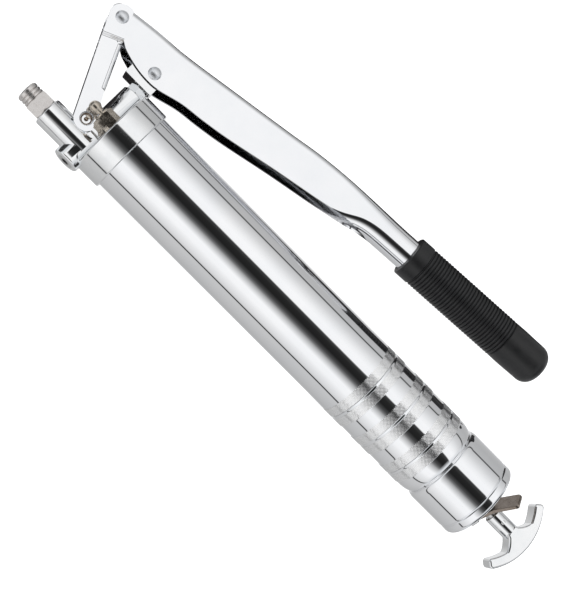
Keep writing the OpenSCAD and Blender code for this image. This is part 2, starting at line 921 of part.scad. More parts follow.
// Half of the fillets between the T-handle's arms and its stem, on the side s
module handle_web(s) {
    inner_x = handle_x - 2 * handle_tip_r;
    polygon([
        [inner_x + 2, 0], [inner_x - 9.1, 0], [inner_x - 9.1, s * stem_r * 0.62],
        [inner_x - 7, s * (stem_r - 1)], [inner_x - 5.2, s * (stem_r + 0.9)],
        [inner_x - 3.7, s * (stem_r + 2.9)], [inner_x - 2.5, s * (stem_r + 5.1)],
        [inner_x - 1.8, s * (stem_r + 7.4)], [inner_x + 2, s * (stem_r + 7.4)]
    ]);
}

// Outline of the T-handle: a bow of even width with round tips, joined to the stem
module handle_shape() {
    arm_r = handle_r - handle_tip_r;
    sweep = asin((handle_span / 2 - handle_tip_r) / arm_r);
    translate([handle_x - handle_r, 0]) {
        polygon(concat(
            arc(0, 0, handle_r, -sweep, sweep, 32),
            arc(0, 0, handle_r - 2 * handle_tip_r, sweep, -sweep, 32)
        ));
        for (s = [-1, 1])
            rotate(s * sweep)
                translate([arm_r, 0])
                    circle(handle_tip_r);
    }
    for (s = [-1, 1])
        handle_web(s);
}

module t_handle() {
    color("whitesmoke")
        difference() {
            union() {
                translate([0, 0, -handle_t / 2])
                    linear_extrude(handle_t)
                        handle_shape();
                rod_along_x(stem_x, handle_x - 2 * handle_tip_r, stem_r);
            }
            rod_along_x(0, handle_x - 7.8, rod_r + seat_fit);
            pin_at([stem_x + 7.5, 0], far, 1.5);
        }
}

module handle_pin() {
    color("gray")
        pin_at([stem_x + 7.5, 0], stem_r - 0.1, 1.5 - seat_fit);
}

pump_head();
gland_nut();
plunger_seal();
check_plug();
check_spring();
check_ball();
filler_body();
filler_stem();
filler_spring();
coupler_body();
coupler_sleeve();
coupler_jaws();
coupler_seal();
coupler_spring();
link_pin();
link();
lever_pin();
lever_spacer();
lever();
grip();
plunger_pin();
plunger();
plunger_head();
head_screw();
barrel_gasket();
barrel();
rear_cap();
rod_guide();
lock_latch();
latch_spring();
rod_nut();
front_plate();
follower_seal();
rear_plate();
rod_clip();
follower_spring();
follower_rod();
t_handle();
handle_pin();
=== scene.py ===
"""Visual model of a lever-operated grease gun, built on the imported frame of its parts.

Sizes are in millimetres and the meshes are in metres. +X runs along the barrel from the head
to the T-handle, +Y points from the barrel to the lever, and the pivots stand along Z.
"""

import json
import logging
import math
from dataclasses import dataclass, field
from enum import Enum
from typing import Callable, Sequence

import bmesh
import bpy
from bmesh.types import BMesh, BMVert
from bpy.types import NodeSocket, NodeTree, Object
from mathutils import Matrix, Vector


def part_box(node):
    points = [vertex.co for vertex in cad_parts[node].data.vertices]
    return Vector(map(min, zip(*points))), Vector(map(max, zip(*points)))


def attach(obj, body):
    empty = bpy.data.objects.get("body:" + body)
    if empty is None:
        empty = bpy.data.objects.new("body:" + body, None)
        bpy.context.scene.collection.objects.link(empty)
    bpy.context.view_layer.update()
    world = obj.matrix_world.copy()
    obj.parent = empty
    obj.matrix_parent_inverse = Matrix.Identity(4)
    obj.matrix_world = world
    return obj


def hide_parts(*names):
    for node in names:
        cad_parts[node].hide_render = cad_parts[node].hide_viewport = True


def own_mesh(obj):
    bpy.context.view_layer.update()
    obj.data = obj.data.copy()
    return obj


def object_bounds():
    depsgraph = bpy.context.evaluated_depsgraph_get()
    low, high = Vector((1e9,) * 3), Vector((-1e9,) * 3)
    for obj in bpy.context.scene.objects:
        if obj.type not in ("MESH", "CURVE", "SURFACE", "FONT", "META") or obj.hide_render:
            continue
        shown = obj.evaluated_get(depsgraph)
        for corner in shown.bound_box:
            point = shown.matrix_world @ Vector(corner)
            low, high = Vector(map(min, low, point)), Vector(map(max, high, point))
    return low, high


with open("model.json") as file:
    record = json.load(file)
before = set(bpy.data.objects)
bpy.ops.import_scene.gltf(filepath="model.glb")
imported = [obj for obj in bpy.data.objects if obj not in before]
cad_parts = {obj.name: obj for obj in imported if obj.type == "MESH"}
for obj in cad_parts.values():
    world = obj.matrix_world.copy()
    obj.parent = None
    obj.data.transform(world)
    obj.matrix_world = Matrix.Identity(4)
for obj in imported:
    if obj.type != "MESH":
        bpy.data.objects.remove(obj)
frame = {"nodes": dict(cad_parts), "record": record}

logging.basicConfig(level=logging.INFO, format="%(name)s: %(message)s")
LOG = logging.getLogger("grease_gun")
CAD_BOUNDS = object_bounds()
MM = 0.001
# Distance within which points of a mesh are merged, in metres.
WELD = 1e-7

Point = tuple[float, float]
Colour = tuple[float, float, float]


class Axis(Enum):
    """Row axes, as the places of (along, across, across) in a position."""

    X = (0, 1, 2)
    Y = (1, 0, 2)
    Z = (2, 0, 1)


class Blend(Enum):
    """Ways in which one solid acts on another."""

    JOIN = "UNION"
    CUT = "DIFFERENCE"
    MEET = "INTERSECT"


# ---- Outlines ----


def arc(centre: Point, radius: float, start: float, end: float, steps: int = 8) -> list[Point]:
    """Points of an arc.

    Args:
        centre: Centre of the arc.
        radius: Radius of the arc.
        start: First angle, in degrees.
        end: Last angle, in degrees.
        steps: Number of chords.

    Returns:
        The points, both ends included.
    """
    turns = [math.radians(start + (end - start) * i / steps) for i in range(steps + 1)]
    return [(centre[0] + radius * math.cos(a), centre[1] + radius * math.sin(a)) for a in turns]


def band(start: float, end: float, radius: float, inner: float = 0.0) -> list[Point]:
    """Profile of a plain cylinder, or of a tube where inner is above 0."""
    return [(start, inner), (start, radius), (end, radius), (end, inner)]


def flipped(points: Sequence[Point], total: float) -> list[Point]:
    """A profile's mirror image, where a place and its image add up to total."""
    return [(total - place, radius) for place, radius in reversed(points)]


def rounded(points: Sequence[Point], radii: Sequence[float], steps: int = 5) -> list[Point]:
    """Rounds the corners of a closed outline.

    Args:
        points: Corners in order.
        radii: One radius for each corner.
        steps: Chords in each rounded corner.

    Returns:
        The rounded outline.
    """
    flattest, keenest, longest_share = math.radians(177), math.radians(1), 0.49
    result: list[Point] = []
    for i, corner in enumerate(points):
        here = Vector(corner)
        back = Vector(points[i - 1]) - here
        ahead = Vector(points[(i + 1) % len(points)]) - here
        angle = back.angle(ahead) if back.length and ahead.length else math.pi
        if radii[i] <= 0 or angle > flattest or angle < keenest:
            result.append(corner)
            continue
        limit = min(back.length, ahead.length) * longest_share
        reach = min(radii[i] / math.tan(angle / 2), limit)
        centre = here + (back.normalized() + ahead.normalized()).normalized() * (reach / math.cos(angle / 2))
        first = here + back.normalized() * reach - centre
        last = here + ahead.normalized() * reach - centre
        sweep = math.atan2(first.x * last.y - first.y * last.x, first.dot(last))
        for k in range(steps + 1):
            result.append(tuple(centre + Matrix.Rotation(sweep * k / steps, 2) @ first))
    return result


def curve_through(points: Sequence[Point]) -> Callable[[float], float]:
    """Smooth height along a line that passes through the given points.

    Args:
        points: (place, height) pairs in rising order of place.

    Returns:
        A function from place to height, level with its ends beyond them.
    """
    slopes = []
    for i in range(len(points)):
        low, high = max(i - 1, 0), min(i + 1, len(points) - 1)
        slopes.append((points[high][1] - points[low][1]) / (points[high][0] - points[low][0]))

    def height(place: float) -> float:
        """Height at one place."""
        place = min(max(place, points[0][0]), points[-1][0])
        i = max(k for k in range(len(points) - 1) if points[k][0] <= place)
        width = points[i + 1][0] - points[i][0]
        t = (place - points[i][0]) / width
        return (
            (2 * t**3 - 3 * t**2 + 1) * points[i][1]
            + (t**3 - 2 * t**2 + t) * width * slopes[i]
            + (3 * t**2 - 2 * t**3) * points[i + 1][1]
            + (t**3 - t**2) * width * slopes[i + 1]
        )

    return height


def ease(value: float, low: float, high: float) -> float:
    """Smooth step from 0 at low to 1 at high."""
    t = min(max((value - low) / (high - low), 0.0), 1.0)
    return t * t * (3 - 2 * t)


# ---- Meshes ----


def lathe(profile: Sequence[Point], axis: Axis = Axis.X, centre: Point = (0.0, 0.0),
          steps: int = 96) -> BMesh:
    """Solid turned about a line along a row axis.

    Args:
        profile: Closed outline of (place along the axis, radius).
        axis: The row axis that the line is parallel to.
        centre: Where the line crosses the other two axes.
        steps: Sides of each turn.

    Returns:
        The mesh, in millimetres.
    """
    mesh = bmesh.new()
    along, first, second = axis.value
    rings = []
    for place, radius in profile:
        ring = []
        for k in range(1 if radius < 1e-4 else steps):
            turn = 2 * math.pi * k / steps
            spot = [0.0, 0.0, 0.0]
            spot[along] = place
            spot[first] = centre[0] + max(radius, 0.0) * math.cos(turn)
            spot[second] = centre[1] + max(radius, 0.0) * math.sin(turn)
            ring.append(mesh.verts.new(spot))
        rings.append(ring)
    for a, b in zip(rings, rings[1:] + rings[:1]):
        if len(a) == len(b) == 1:
            continue
        for k in range(steps):
            n = (k + 1) % steps
            face = [a[k % len(a)], a[n % len(a)], b[n % len(b)], b[k % len(b)]]
            mesh.faces.new(list(dict.fromkeys(face)))
    bmesh.ops.recalc_face_normals(mesh, faces=mesh.faces)
    return mesh


def slab(outline: Sequence[Point], low: float, high: float, holes: Sequence[Sequence[Point]] = ()) -> BMesh:
    """Flat plate in the XY plane.

    Args:
        outline: Outer edge.
        low: Lower face, along Z.
        high: Upper face, along Z.
        holes: Outlines of the holes.

    Returns:
        The mesh, in millimetres.
    """
    mesh = bmesh.new()
    edges = []
    for loop in (outline, *holes):
        verts = [mesh.verts.new((x, y, low)) for x, y in loop]
        edges += [mesh.edges.new((a, b)) for a, b in zip(verts, verts[1:] + verts[:1])]
    if holes:
        bmesh.ops.triangle_fill(mesh, edges=edges, use_beauty=True, normal=(0, 0, 1))
    else:
        mesh.faces.new(list(mesh.verts))
    grown = bmesh.ops.extrude_face_region(mesh, geom=list(mesh.faces))["geom"]
    moved = [g for g in grown if isinstance(g, BMVert)]
    bmesh.ops.translate(mesh, verts=moved, vec=(0, 0, high - low))
    bmesh.ops.recalc_face_normals(mesh, faces=mesh.faces)
    return mesh


def loft(rings: Sequence[Sequence[Sequence[float]]], up: Vector) -> BMesh:
    """Open sheet through rows of points.

    Args:
        rings: Rows with the same number of points.
        up: The way that the sheet's first middle face looks.

    Returns:
        The mesh, in millimetres.
    """
    mesh = bmesh.new()
    rows = [[mesh.verts.new(p) for p in ring] for ring in rings]
    for a, b in zip(rows, rows[1:]):
        for k in range(len(a) - 1):
            mesh.faces.new((a[k], a[k + 1], b[k + 1], b[k]))
    mesh.normal_update()
    mesh.faces.ensure_lookup_table()
    if mesh.faces[len(rows[0]) // 2].normal.dot(up) < 0:
        bmesh.ops.reverse_faces(mesh, faces=mesh.faces)
    return mesh


def joined(first: BMesh, second: BMesh) -> BMesh:
    """Puts the second mesh in the first one, without welding them.

    Args:
        first: The mesh that grows.
        second: The mesh that is used up.

    Returns:
        The first mesh.
    """
    spare = bpy.data.meshes.new("spare")
    second.to_mesh(spare)
    second.free()
    first.from_mesh(spare)
    bpy.data.meshes.remove(spare)
    return first


def linked(name: str, data: bpy.types.ID) -> Object:
    """Makes an object and puts it in the scene.

    Args:
        name: The object's name.
        data: Its mesh or camera.

    Returns:
        The object.
    """
    obj = bpy.data.objects.new(name, data)
    bpy.context.scene.collection.objects.link(obj)
    return obj


def evaluated(obj: Object) -> None:
    """Turns an object's live modifiers into its plain mesh.

    Args:
        obj: The object, which keeps no modifier.
    """
    graph = bpy.context.evaluated_depsgraph_get()
    graph.update()
    live = obj.evaluated_get(graph)
    mesh = bpy.data.meshes.new_from_object(live, preserve_all_data_layers=True, depsgraph=graph)
    old = obj.data
    obj.modifiers.clear()
    obj.data = mesh
    mesh.name = obj.name
    bpy.data.meshes.remove(old)


def modified(obj: Object, kind: str, **settings: object) -> None:
    """Runs one modifier on an object and keeps its result as the plain mesh.

    Args:
        obj: The object.
        kind: The modifier's type.
        settings: Its properties, lengths in metres.
    """
    modifier = obj.modifiers.new(kind.lower(), kind)
    for key, value in settings.items():
        setattr(modifier, key, value)
    evaluated(obj)


def soften(obj: Object, bevel: float = 0.0, sharp: float = 32.0, steps: int = 3) -> None:
    """Rounds an object's sharp edges a little and shades the rest of it smooth.

    Args:
        obj: The object.
        bevel: Width of the rounding on sharp edges, in millimetres.
        sharp: Least angle of a sharp edge, in degrees.
        steps: Segments across the rounding.
    """
    limit = math.radians(sharp)
    if bevel > 0:
        modified(obj, "BEVEL", width=bevel * MM, segments=steps, limit_method="ANGLE", angle_limit=limit,
                 use_clamp_overlap=True)
    mesh = bmesh.new()
    mesh.from_mesh(obj.data)
    bmesh.ops.dissolve_degenerate(mesh, dist=WELD, edges=mesh.edges)
    for face in mesh.faces:
        face.smooth = True
    for edge in mesh.edges:
        edge.smooth = not edge.is_manifold or edge.calc_face_angle(0.0) < limit
    mesh.to_mesh(obj.data)
    mesh.free()
    modified(obj, "WEIGHTED_NORMAL", keep_sharp=True)


def piece(mesh: BMesh, name: str, bevel: float = 0.0, sharp: float = 32.0, steps: int = 3) -> Object:
    """Makes a finished object, smooth except at its sharp edges.

    Args:
        mesh: The mesh in millimetres; it is used up.
        name: The object's name.
        bevel: Width of the rounding on sharp edges, in millimetres.
        sharp: Least angle of a sharp edge, in degrees.
        steps: Segments across the rounding.

    Returns:
        The object, at the origin.
    """
    bmesh.ops.scale(mesh, vec=(MM, MM, MM), verts=mesh.verts)
    bmesh.ops.remove_doubles(mesh, verts=mesh.verts, dist=WELD)
    data = bpy.data.meshes.new(name)
    mesh.to_mesh(data)
    mesh.free()
    obj = linked(name, data)
    soften(obj, bevel, sharp, steps)
    return obj


def turned(profile: Sequence[Point], name: str, axis: Axis = Axis.X, centre: Point = (0.0, 0.0),
           steps: int = 64) -> Object:
    """Makes a finished turned piece; see lathe() and piece()."""
    return piece(lathe(profile, axis, centre, steps), name)


def combined(base: Object, others: Sequence[Object], blend: Blend, bevel: float = 0.0) -> Object:
    """Joins, cuts or intersects an object with others, which are used up.

    Args:
        base: The object that stays.
        others: The objects that act on it, one after another.
        blend: What each of them does to it.
        bevel: Width of the rounding on the sharp edges that result, in millimetres.

    Returns:
        The base object.
    """
    for other in others:
        modified(base, "BOOLEAN", operation=blend.value, solver="EXACT", object=other)
        bpy.data.objects.remove(other)
    soften(base, bevel)
    return base


def hexagon_bar(start: float, end: float, corner: float, axis: Axis, centre: Point, turn: float,
                name: str) -> Object:
    """Hexagonal bar with turned chamfers on both ends.

    Args:
        start: One end, along the axis.
        end: The other end.
        corner: Radius to the corners.
        axis: The row axis that it lies along.
        centre: Where its middle line crosses the other two axes.
        turn: Angle of its first corner, in degrees.
        name: The object's name.

    Returns:
        The bar.
    """
    prism = slab(arc((0, 0), corner, turn, turn + 300, 5), start, end)
    along, first, second = axis.value
    for vert in prism.verts:
        x, y, z = vert.co
        spot = [0.0, 0.0, 0.0]
        spot[along], spot[first], spot[second] = z, x + centre[0], y + centre[1]
        vert.co = spot
    bmesh.ops.recalc_face_normals(prism, faces=prism.faces)
    flat = corner * math.cos(math.pi / 6)
    face, rise = flat * 0.97, (corner - flat) * 0.75
    half = [(start, 0), (start, face), (start + rise, corner)]
    shape = half + [(end - rise, corner), (end, face), (end, 0)]
    return combined(piece(prism, name), [turned(shape, name + "_round", axis, centre, 96)], Blend.MEET)


# ---- Finishes ----


class Graph:
    """A node tree that is filled by short calls.

    Attributes:
        tree: The tree.
    """

    def __init__(self, tree: NodeTree) -> None:
        """Takes the tree to fill."""
        self.tree = tree

    def socket(self, name: str, kind: str, way: str = "INPUT", default: float | Colour | None = None) -> None:
        """Adds an input or an output to a node group.

        Args:
            name: The socket's name.
            kind: Float, Int, Vector, Color, Material or Geometry.
            way: INPUT or OUTPUT.
            default: Its value where nothing is linked.
        """
        item = self.tree.interface.new_socket(name=name, in_out=way, socket_type="NodeSocket" + kind)
        if default is not None:
            item.default_value = (*default, 1.0) if isinstance(default, tuple) else default

    def node(self, kind: str, links: dict[str | int, object], **settings: object) -> bpy.types.Node:
        """Adds a node, sets its properties and fills its inputs.

        Args:
            kind: The node's type.
            links: Values or output sockets by input name or number.
            settings: Properties of the node.

        Returns:
            The new node.
        """
        made = self.tree.nodes.new(kind)
        for key, value in settings.items():
            setattr(made, key, value)
        for key, value in links.items():
            if isinstance(value, NodeSocket):
                self.tree.links.new(value, made.inputs[key])
            else:
                made.inputs[key].default_value = value
        return made

    def maths(self, operation: str, first: object, second: object = 0.0) -> NodeSocket:
        """Adds a Math node and returns its result."""
        return self.node("ShaderNodeMath", {0: first, 1: second}, operation=operation).outputs[0]

    def vector_maths(self, operation: str, first: object, second: object,
                     result: str) -> NodeSocket:
        """Adds a Vector Math node and returns the named result."""
        return self.node("ShaderNodeVectorMath", {0: first, 1: second}, operation=operation).outputs[result]

    def spread(self, value: object, low: float, high: float, start: object = 0.0,
               end: object = 1.0) -> NodeSocket:
        """Maps low to start and high to end, clamped, and returns the result."""
        return self.node("ShaderNodeMapRange", {0: value, 1: low, 2: high, 3: start, 4: end}).outputs[0]

    def mix(self, share: object, first: object, second: object) -> NodeSocket:
        """Mixes two colours and returns the result."""
        return self.node("ShaderNodeMix", {0: share, 6: first, 7: second}, data_type="RGBA").outputs[2]

    def noise(self, spot: object, scale: object, detail: float, rough: float = 0.5) -> NodeSocket:
        """Adds a noise texture and returns its value."""
        links = {"Vector": spot, "Scale": scale, "Detail": detail, "Roughness": rough}
        return self.node("ShaderNodeTexNoise", links).outputs["Fac"]


def mottle_group() -> NodeTree:
    """Group for slow variation and fine speckle over a surface.

    Returns:
        The group, which is made once.
    """
    if "mottle" in bpy.data.node_groups:
        return bpy.data.node_groups["mottle"]
    g = Graph(bpy.data.node_groups.new("mottle", "ShaderNodeTree"))
    for name, default in (("Patch Size", 60.0), ("Speck Size", 900.0), ("Smooth", 0.1), ("Rough", 0.3)):
        g.socket(name, "Float", default=default)
    for name, default in (("Dark", (0.4, 0.4, 0.4)), ("Light", (0.6, 0.6, 0.6))):
        g.socket(name, "Color", default=default)
    for name, kind in (("Color", "Color"), ("Roughness", "Float")):
        g.socket(name, kind, "OUTPUT")
    given = g.node("NodeGroupInput", {}).outputs
    spot = g.node("ShaderNodeTexCoord", {}).outputs["Object"]
    shade = g.spread(g.noise(spot, given["Patch Size"], 5.0, 0.6), 0.3, 0.7)
    speck = g.noise(spot, given["Speck Size"], 2.0)
    colour = g.mix(shade, given["Dark"], given["Light"])
    rough = g.spread(g.maths("MULTIPLY", shade, speck), 0.0, 0.6, given["Smooth"], given["Rough"])
    g.node("NodeGroupOutput", {"Color": colour, "Roughness": rough})
    return g.tree


def grain_group() -> NodeTree:
    """Group for fine lines that run along one axis, as left by polishing or turning.

    Returns:
        The group, which is made once.
    """
    if "grain" in bpy.data.node_groups:
        return bpy.data.node_groups["grain"]
    g = Graph(bpy.data.node_groups.new("grain", "ShaderNodeTree"))
    g.socket("Stretch", "Vector")
    for name, default in (("Fineness", 400.0), ("Wave Size", 40.0), ("Lines", 0.5)):
        g.socket(name, "Float", default=default)
    g.socket("Height", "Float", "OUTPUT")
    given = g.node("NodeGroupInput", {}).outputs
    spot = g.node("ShaderNodeTexCoord", {}).outputs["Object"]
    pulled = g.vector_maths("MULTIPLY", spot, given["Stretch"], "Vector")
    lines = g.noise(pulled, given["Fineness"], 3.0)
    wave = g.noise(spot, given["Wave Size"], 1.0)
    height = g.node("ShaderNodeMix", {0: given["Lines"], 2: wave, 3: lines}, data_type="FLOAT")
    g.node("NodeGroupOutput", {"Height": height.outputs[0]})
    return g.tree


@dataclass(frozen=True)
class Finish:
    """A surface finish made of patches, specks and fine lines.

    Attributes:
        name: The material's name.
        dark: Colour of the darker patches.
        light: Colour of the lighter patches.
        smooth: Least roughness.
        rough: Greatest roughness.
        patch: Fineness of the patches.
        metallic: 1 for bare metal and 0 for rubber or paint.
        stretch: Fineness of the lines along each axis.
        lines: Share of lines, against slow waves, in the relief.
        relief: Strength of the relief.
        depth: Depth of the relief, in millimetres.
    """

    name: str
    dark: Colour
    light: Colour
    smooth: float
    rough: float
    patch: float
    metallic: float = 1.0
    stretch: tuple[float, float, float] = (1.0, 1.0, 1.0)
    lines: float = 0.5
    relief: float = 0.1
    depth: float = 0.05

    def material(self) -> bpy.types.Material:
        """Makes the material, or finds it if it is there.

        Returns:
            The material.
        """
        if self.name in bpy.data.materials:
            return bpy.data.materials[self.name]
        material = bpy.data.materials.new(self.name)
        material.use_nodes = True
        g = Graph(material.node_tree)
        shader = g.tree.nodes["Principled BSDF"].inputs
        colours = {"Dark": (*self.dark, 1.0), "Light": (*self.light, 1.0)}
        sizes = {"Patch Size": self.patch, "Smooth": self.smooth, "Rough": self.rough}
        mottle = g.node("ShaderNodeGroup", {}, node_tree=mottle_group())
        for key, value in {**colours, **sizes}.items():
            mottle.inputs[key].default_value = value
        grain = g.node("ShaderNodeGroup", {}, node_tree=grain_group())
        grain.inputs["Stretch"].default_value = self.stretch
        grain.inputs["Lines"].default_value = self.lines
        relief = {"Strength": self.relief, "Distance": self.depth * MM, "Height": grain.outputs["Height"]}
        bump = g.node("ShaderNodeBump", relief)
        g.tree.links.new(mottle.outputs["Color"], shader["Base Color"])
        g.tree.links.new(mottle.outputs["Roughness"], shader["Roughness"])
        g.tree.links.new(bump.outputs["Normal"], shader["Normal"])
        shader["Metallic"].default_value = self.metallic
        return material


CHROME = Finish("bright_chrome", (0.90, 0.91, 0.93), (0.95, 0.95, 0.96), 0.02, 0.06, 25,
                relief=0.05, depth=0.02, lines=0.1)
CAST_CHROME = Finish("chromed_casting", (0.86, 0.87, 0.88), (0.94, 0.94, 0.94), 0.04, 0.13, 90,
                     relief=0.12, depth=0.04, lines=0.2)
SHEET_CHROME = Finish("chromed_sheet", (0.88, 0.89, 0.91), (0.94, 0.94, 0.95), 0.035, 0.09, 30,
                      relief=0.10, depth=0.06, lines=0.05)
KNURL_CHROME = Finish("knurled_chrome", (0.93, 0.93, 0.94), (0.98, 0.98, 0.98), 0.12, 0.24, 200)
RIVET_CHROME = Finish("rivet_chrome", (0.78, 0.80, 0.83), (0.90, 0.91, 0.93), 0.32, 0.42, 150)
# Brown pin metal darkened as painted shade, for the plugs inside the link pin's blind recesses.
PIN_RECESS_SHADE = Finish("pin_recess_painted_shade", (0.16, 0.11, 0.08), (0.52, 0.43, 0.35), 0.10, 0.24, 420, relief=0.2)
ZINC = Finish("dull_zinc", (0.66, 0.63, 0.61), (0.80, 0.77, 0.75), 0.22, 0.38, 320,
              stretch=(0.25, 1.0, 1.0), relief=0.35)
NICKEL = Finish("plain_nickel", (0.50, 0.44, 0.37), (0.66, 0.60, 0.52), 0.16, 0.34, 260, relief=0.2)
STEEL = Finish("ground_steel", (0.55, 0.55, 0.55), (0.68, 0.68, 0.67), 0.14, 0.30, 150,
               stretch=(0.1, 1.0, 1.0), relief=0.2)
SPRING = Finish("oiled_spring_steel", (0.10, 0.10, 0.11), (0.20, 0.20, 0.21), 0.25, 0.42, 200, relief=0.2)
LATCH_STEEL = Finish("tempered_steel", (0.21, 0.17, 0.14), (0.37, 0.32, 0.28), 0.22, 0.42, 220, relief=0.3)
GRIP_RUBBER = Finish("grip_rubber", (0.008, 0.008, 0.009), (0.018, 0.018, 0.019), 0.34, 0.55, 90,
                     metallic=0.0, lines=0.8, relief=0.25)
SEAL_RUBBER = Finish("seal_rubber", (0.02, 0.02, 0.02), (0.05, 0.05, 0.05), 0.5, 0.7, 120,
                     metallic=0.0, relief=0.3)

NODE_FINISH: dict[str, Finish] = {
    "chrome": CHROME, "zinc": ZINC, "nickel": NICKEL, "steel": STEEL, "spring_steel": SPRING,
    "latch_steel": LATCH_STEEL, "rubber_grip": GRIP_RUBBER, "rubber_seal": SEAL_RUBBER,
}


# ---- Geometry Nodes ----


class Recipe(Graph):
    """A Geometry Nodes tree with named inputs, which is run once and leaves a plain mesh."""

    def __init__(self, name: str) -> None:
        """Starts an empty tree.

        Args:
            name: The tree's name.
        """
        super().__init__(bpy.data.node_groups.new(name, "GeometryNodeTree"))
        self.socket("Geometry", "Geometry", "OUTPUT")
        self.inputs = self.node("NodeGroupInput", {})

    def given(self, name: str, kind: str = "Float") -> NodeSocket:
        """Adds a named input and returns its socket inside the tree."""
        self.socket(name, kind)
        return self.inputs.outputs[name]

    def run(self, shape: NodeSocket, values: dict[str, object], finish: Finish,
            name: str) -> Object:
        """Ends the tree and makes its mesh.

        Args:
            shape: The geometry that the tree has made.
            values: Input values by name.
            finish: Finish of the piece.
            name: The object's name.

        Returns:
            An object with a plain mesh and no modifier.
        """
        dressed = self.given("Material", "Material")
        solid = self.node("GeometryNodeRealizeInstances", {"Geometry": shape})
        coated = self.node("GeometryNodeSetMaterial", {"Geometry": solid.outputs[0], "Material": dressed})
        self.node("NodeGroupOutput", {"Geometry": coated.outputs[0]})
        obj = linked(name, bpy.data.meshes.new(name))
        modifier = obj.modifiers.new("recipe", "NODES")
        modifier.node_group = self.tree
        for item in self.tree.interface.items_tree:
            if item.in_out == "INPUT":
                modifier[item.identifier] = {**values, "Material": finish.material()}[item.name]
        evaluated(obj)
        return obj


def knurl_recipe() -> tuple[Recipe, NodeSocket]:
    """Tree for pointed studs in staggered rows round a cylinder, in paired bands.

    Returns:
        The tree and the studs' geometry.
    """
    r = Recipe("knurled_bands")
    radius, first, width = r.given("Radius"), r.given("First Band"), r.given("Band Width")
    band_pitch, pair_pitch, height = r.given("Band Pitch"), r.given("Pair Pitch"), r.given("Height")
    pairs, rows, columns = (r.given(n, "Int") for n in ("Pairs", "Rows", "Columns"))
    per_band = r.maths("MULTIPLY", rows, columns)
    index = r.node("GeometryNodeInputIndex", {}).outputs[0]
    column = r.maths("MODULO", index, columns)
    row = r.maths("MODULO", r.maths("FLOOR", r.maths("DIVIDE", index, columns)), rows)
    band_index = r.maths("FLOOR", r.maths("DIVIDE", index, per_band))
    side = r.maths("MODULO", band_index, 2.0)
    pair = r.maths("FLOOR", r.maths("DIVIDE", band_index, 2.0))
    step = r.maths("DIVIDE", width, rows)
    along = r.maths("ADD", first, r.maths("MULTIPLY", r.maths("ADD", row, 0.5), step))
    along = r.maths("ADD", along, r.maths("MULTIPLY", side, band_pitch))
    along = r.maths("ADD", along, r.maths("MULTIPLY", pair, pair_pitch))
    stagger = r.maths("MULTIPLY", r.maths("MODULO", row, 2.0), 0.5)
    turn = r.maths("MULTIPLY", r.maths("DIVIDE", r.maths("ADD", column, stagger), columns), 2 * math.pi)
    across, up = r.maths("COSINE", turn), r.maths("SINE", turn)
    outward = r.node("ShaderNodeCombineXYZ", {0: 0.0, 1: across, 2: up}).outputs[0]
    places = {0: along, 1: r.maths("MULTIPLY", across, radius), 2: r.maths("MULTIPLY", up, radius)}
    spot = r.node("ShaderNodeCombineXYZ", places)
    count = r.maths("MULTIPLY", per_band, r.maths("MULTIPLY", pairs, 2.0))
    points = r.node("GeometryNodePoints", {"Count": count, "Position": spot.outputs[0]})
    foot = r.maths("MULTIPLY", step, 0.98)
    cone = {"Vertices": 4, "Radius Top": 0.0, "Radius Bottom": foot, "Depth": height}
    stud = r.node("GeometryNodeMeshCone", cone).outputs["Mesh"]
    facing = r.node("FunctionNodeAlignRotationToVector", {"Vector": outward}, axis="Z").outputs[0]
    spread = {"Points": points.outputs[0], "Instance": stud, "Rotation": facing}
    return r, r.node("GeometryNodeInstanceOnPoints", spread).outputs[0]


def rib_recipe() -> tuple[Recipe, NodeSocket]:
    """Tree for a row of round ribs about a sloping axis.

    Returns:
        The tree and the ribs' geometry.
    """
    r = Recipe("grip_ribs")
    radius, thickness, first, pitch = (r.given(n) for n in ("Radius", "Thickness", "First", "Pitch"))
    count = r.given("Count", "Int")
    mouth, slope = r.given("Mouth", "Vector"), r.given("Slope")
    circle = "GeometryNodeCurvePrimitiveCircle"
    ring = r.node(circle, {"Resolution": 96, "Radius": r.maths("SUBTRACT", radius, thickness)}, mode="RADIUS")
    section = r.node(circle, {"Resolution": 10, "Radius": thickness}, mode="RADIUS")
    curves = {"Curve": ring.outputs["Curve"], "Profile Curve": section.outputs["Curve"]}
    rib = r.node("GeometryNodeCurveToMesh", curves)
    quarter = (0.0, math.pi / 2, 0.0)
    upright = r.node("GeometryNodeTransform", {"Geometry": rib.outputs[0], "Rotation": quarter})
    start = r.node("ShaderNodeCombineXYZ", {0: first})
    offset = r.node("ShaderNodeCombineXYZ", {0: pitch})
    span = {"Count": count, "Start Location": start.outputs[0], "Offset": offset.outputs[0]}
    line = r.node("GeometryNodeMeshLine", span)
    row = {"Points": line.outputs[0], "Instance": upright.outputs[0]}
    ribs = r.node("GeometryNodeInstanceOnPoints", row)
    turn = r.node("ShaderNodeCombineXYZ", {2: slope})
    move = {"Geometry": ribs.outputs[0], "Translation": mouth, "Rotation": turn.outputs[0]}
    placed = r.node("GeometryNodeTransform", move)
    return r, r.node("GeometryNodeSetShadeSmooth", {"Geometry": placed.outputs[0]}).outputs[0]


# ---- Assemblies ----

# Roll of the latch and its bracket about the barrel's axis.
LATCH_ROLL = Matrix.Rotation(math.radians(46.0), 4, "X")
# Climb of the lever's tail and the grip, away from the barrel.
GRIP_SLOPE = math.radians(4.3)
# Clearance between pieces that fit together, in millimetres.
FIT = 0.05

BODIES = frame["record"]["behaviour"]["bodies"]
BODY_OF: dict[str, str] = {node: body for body, nodes in BODIES.items() for node in nodes}
SLOT_OF: dict[str, str] = {entry["node"]: entry["material_slot"] for entry in frame["record"]["subparts"]}


def corners(node: str) -> tuple[Vector, Vector]:
    """Lowest and highest corners of a CAD node, in millimetres."""
    low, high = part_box(node)
    return low / MM, high / MM


def middle(node: str) -> Vector:
    """Middle of a CAD node's box, in millimetres."""
    low, high = corners(node)
    return (low + high) / 2


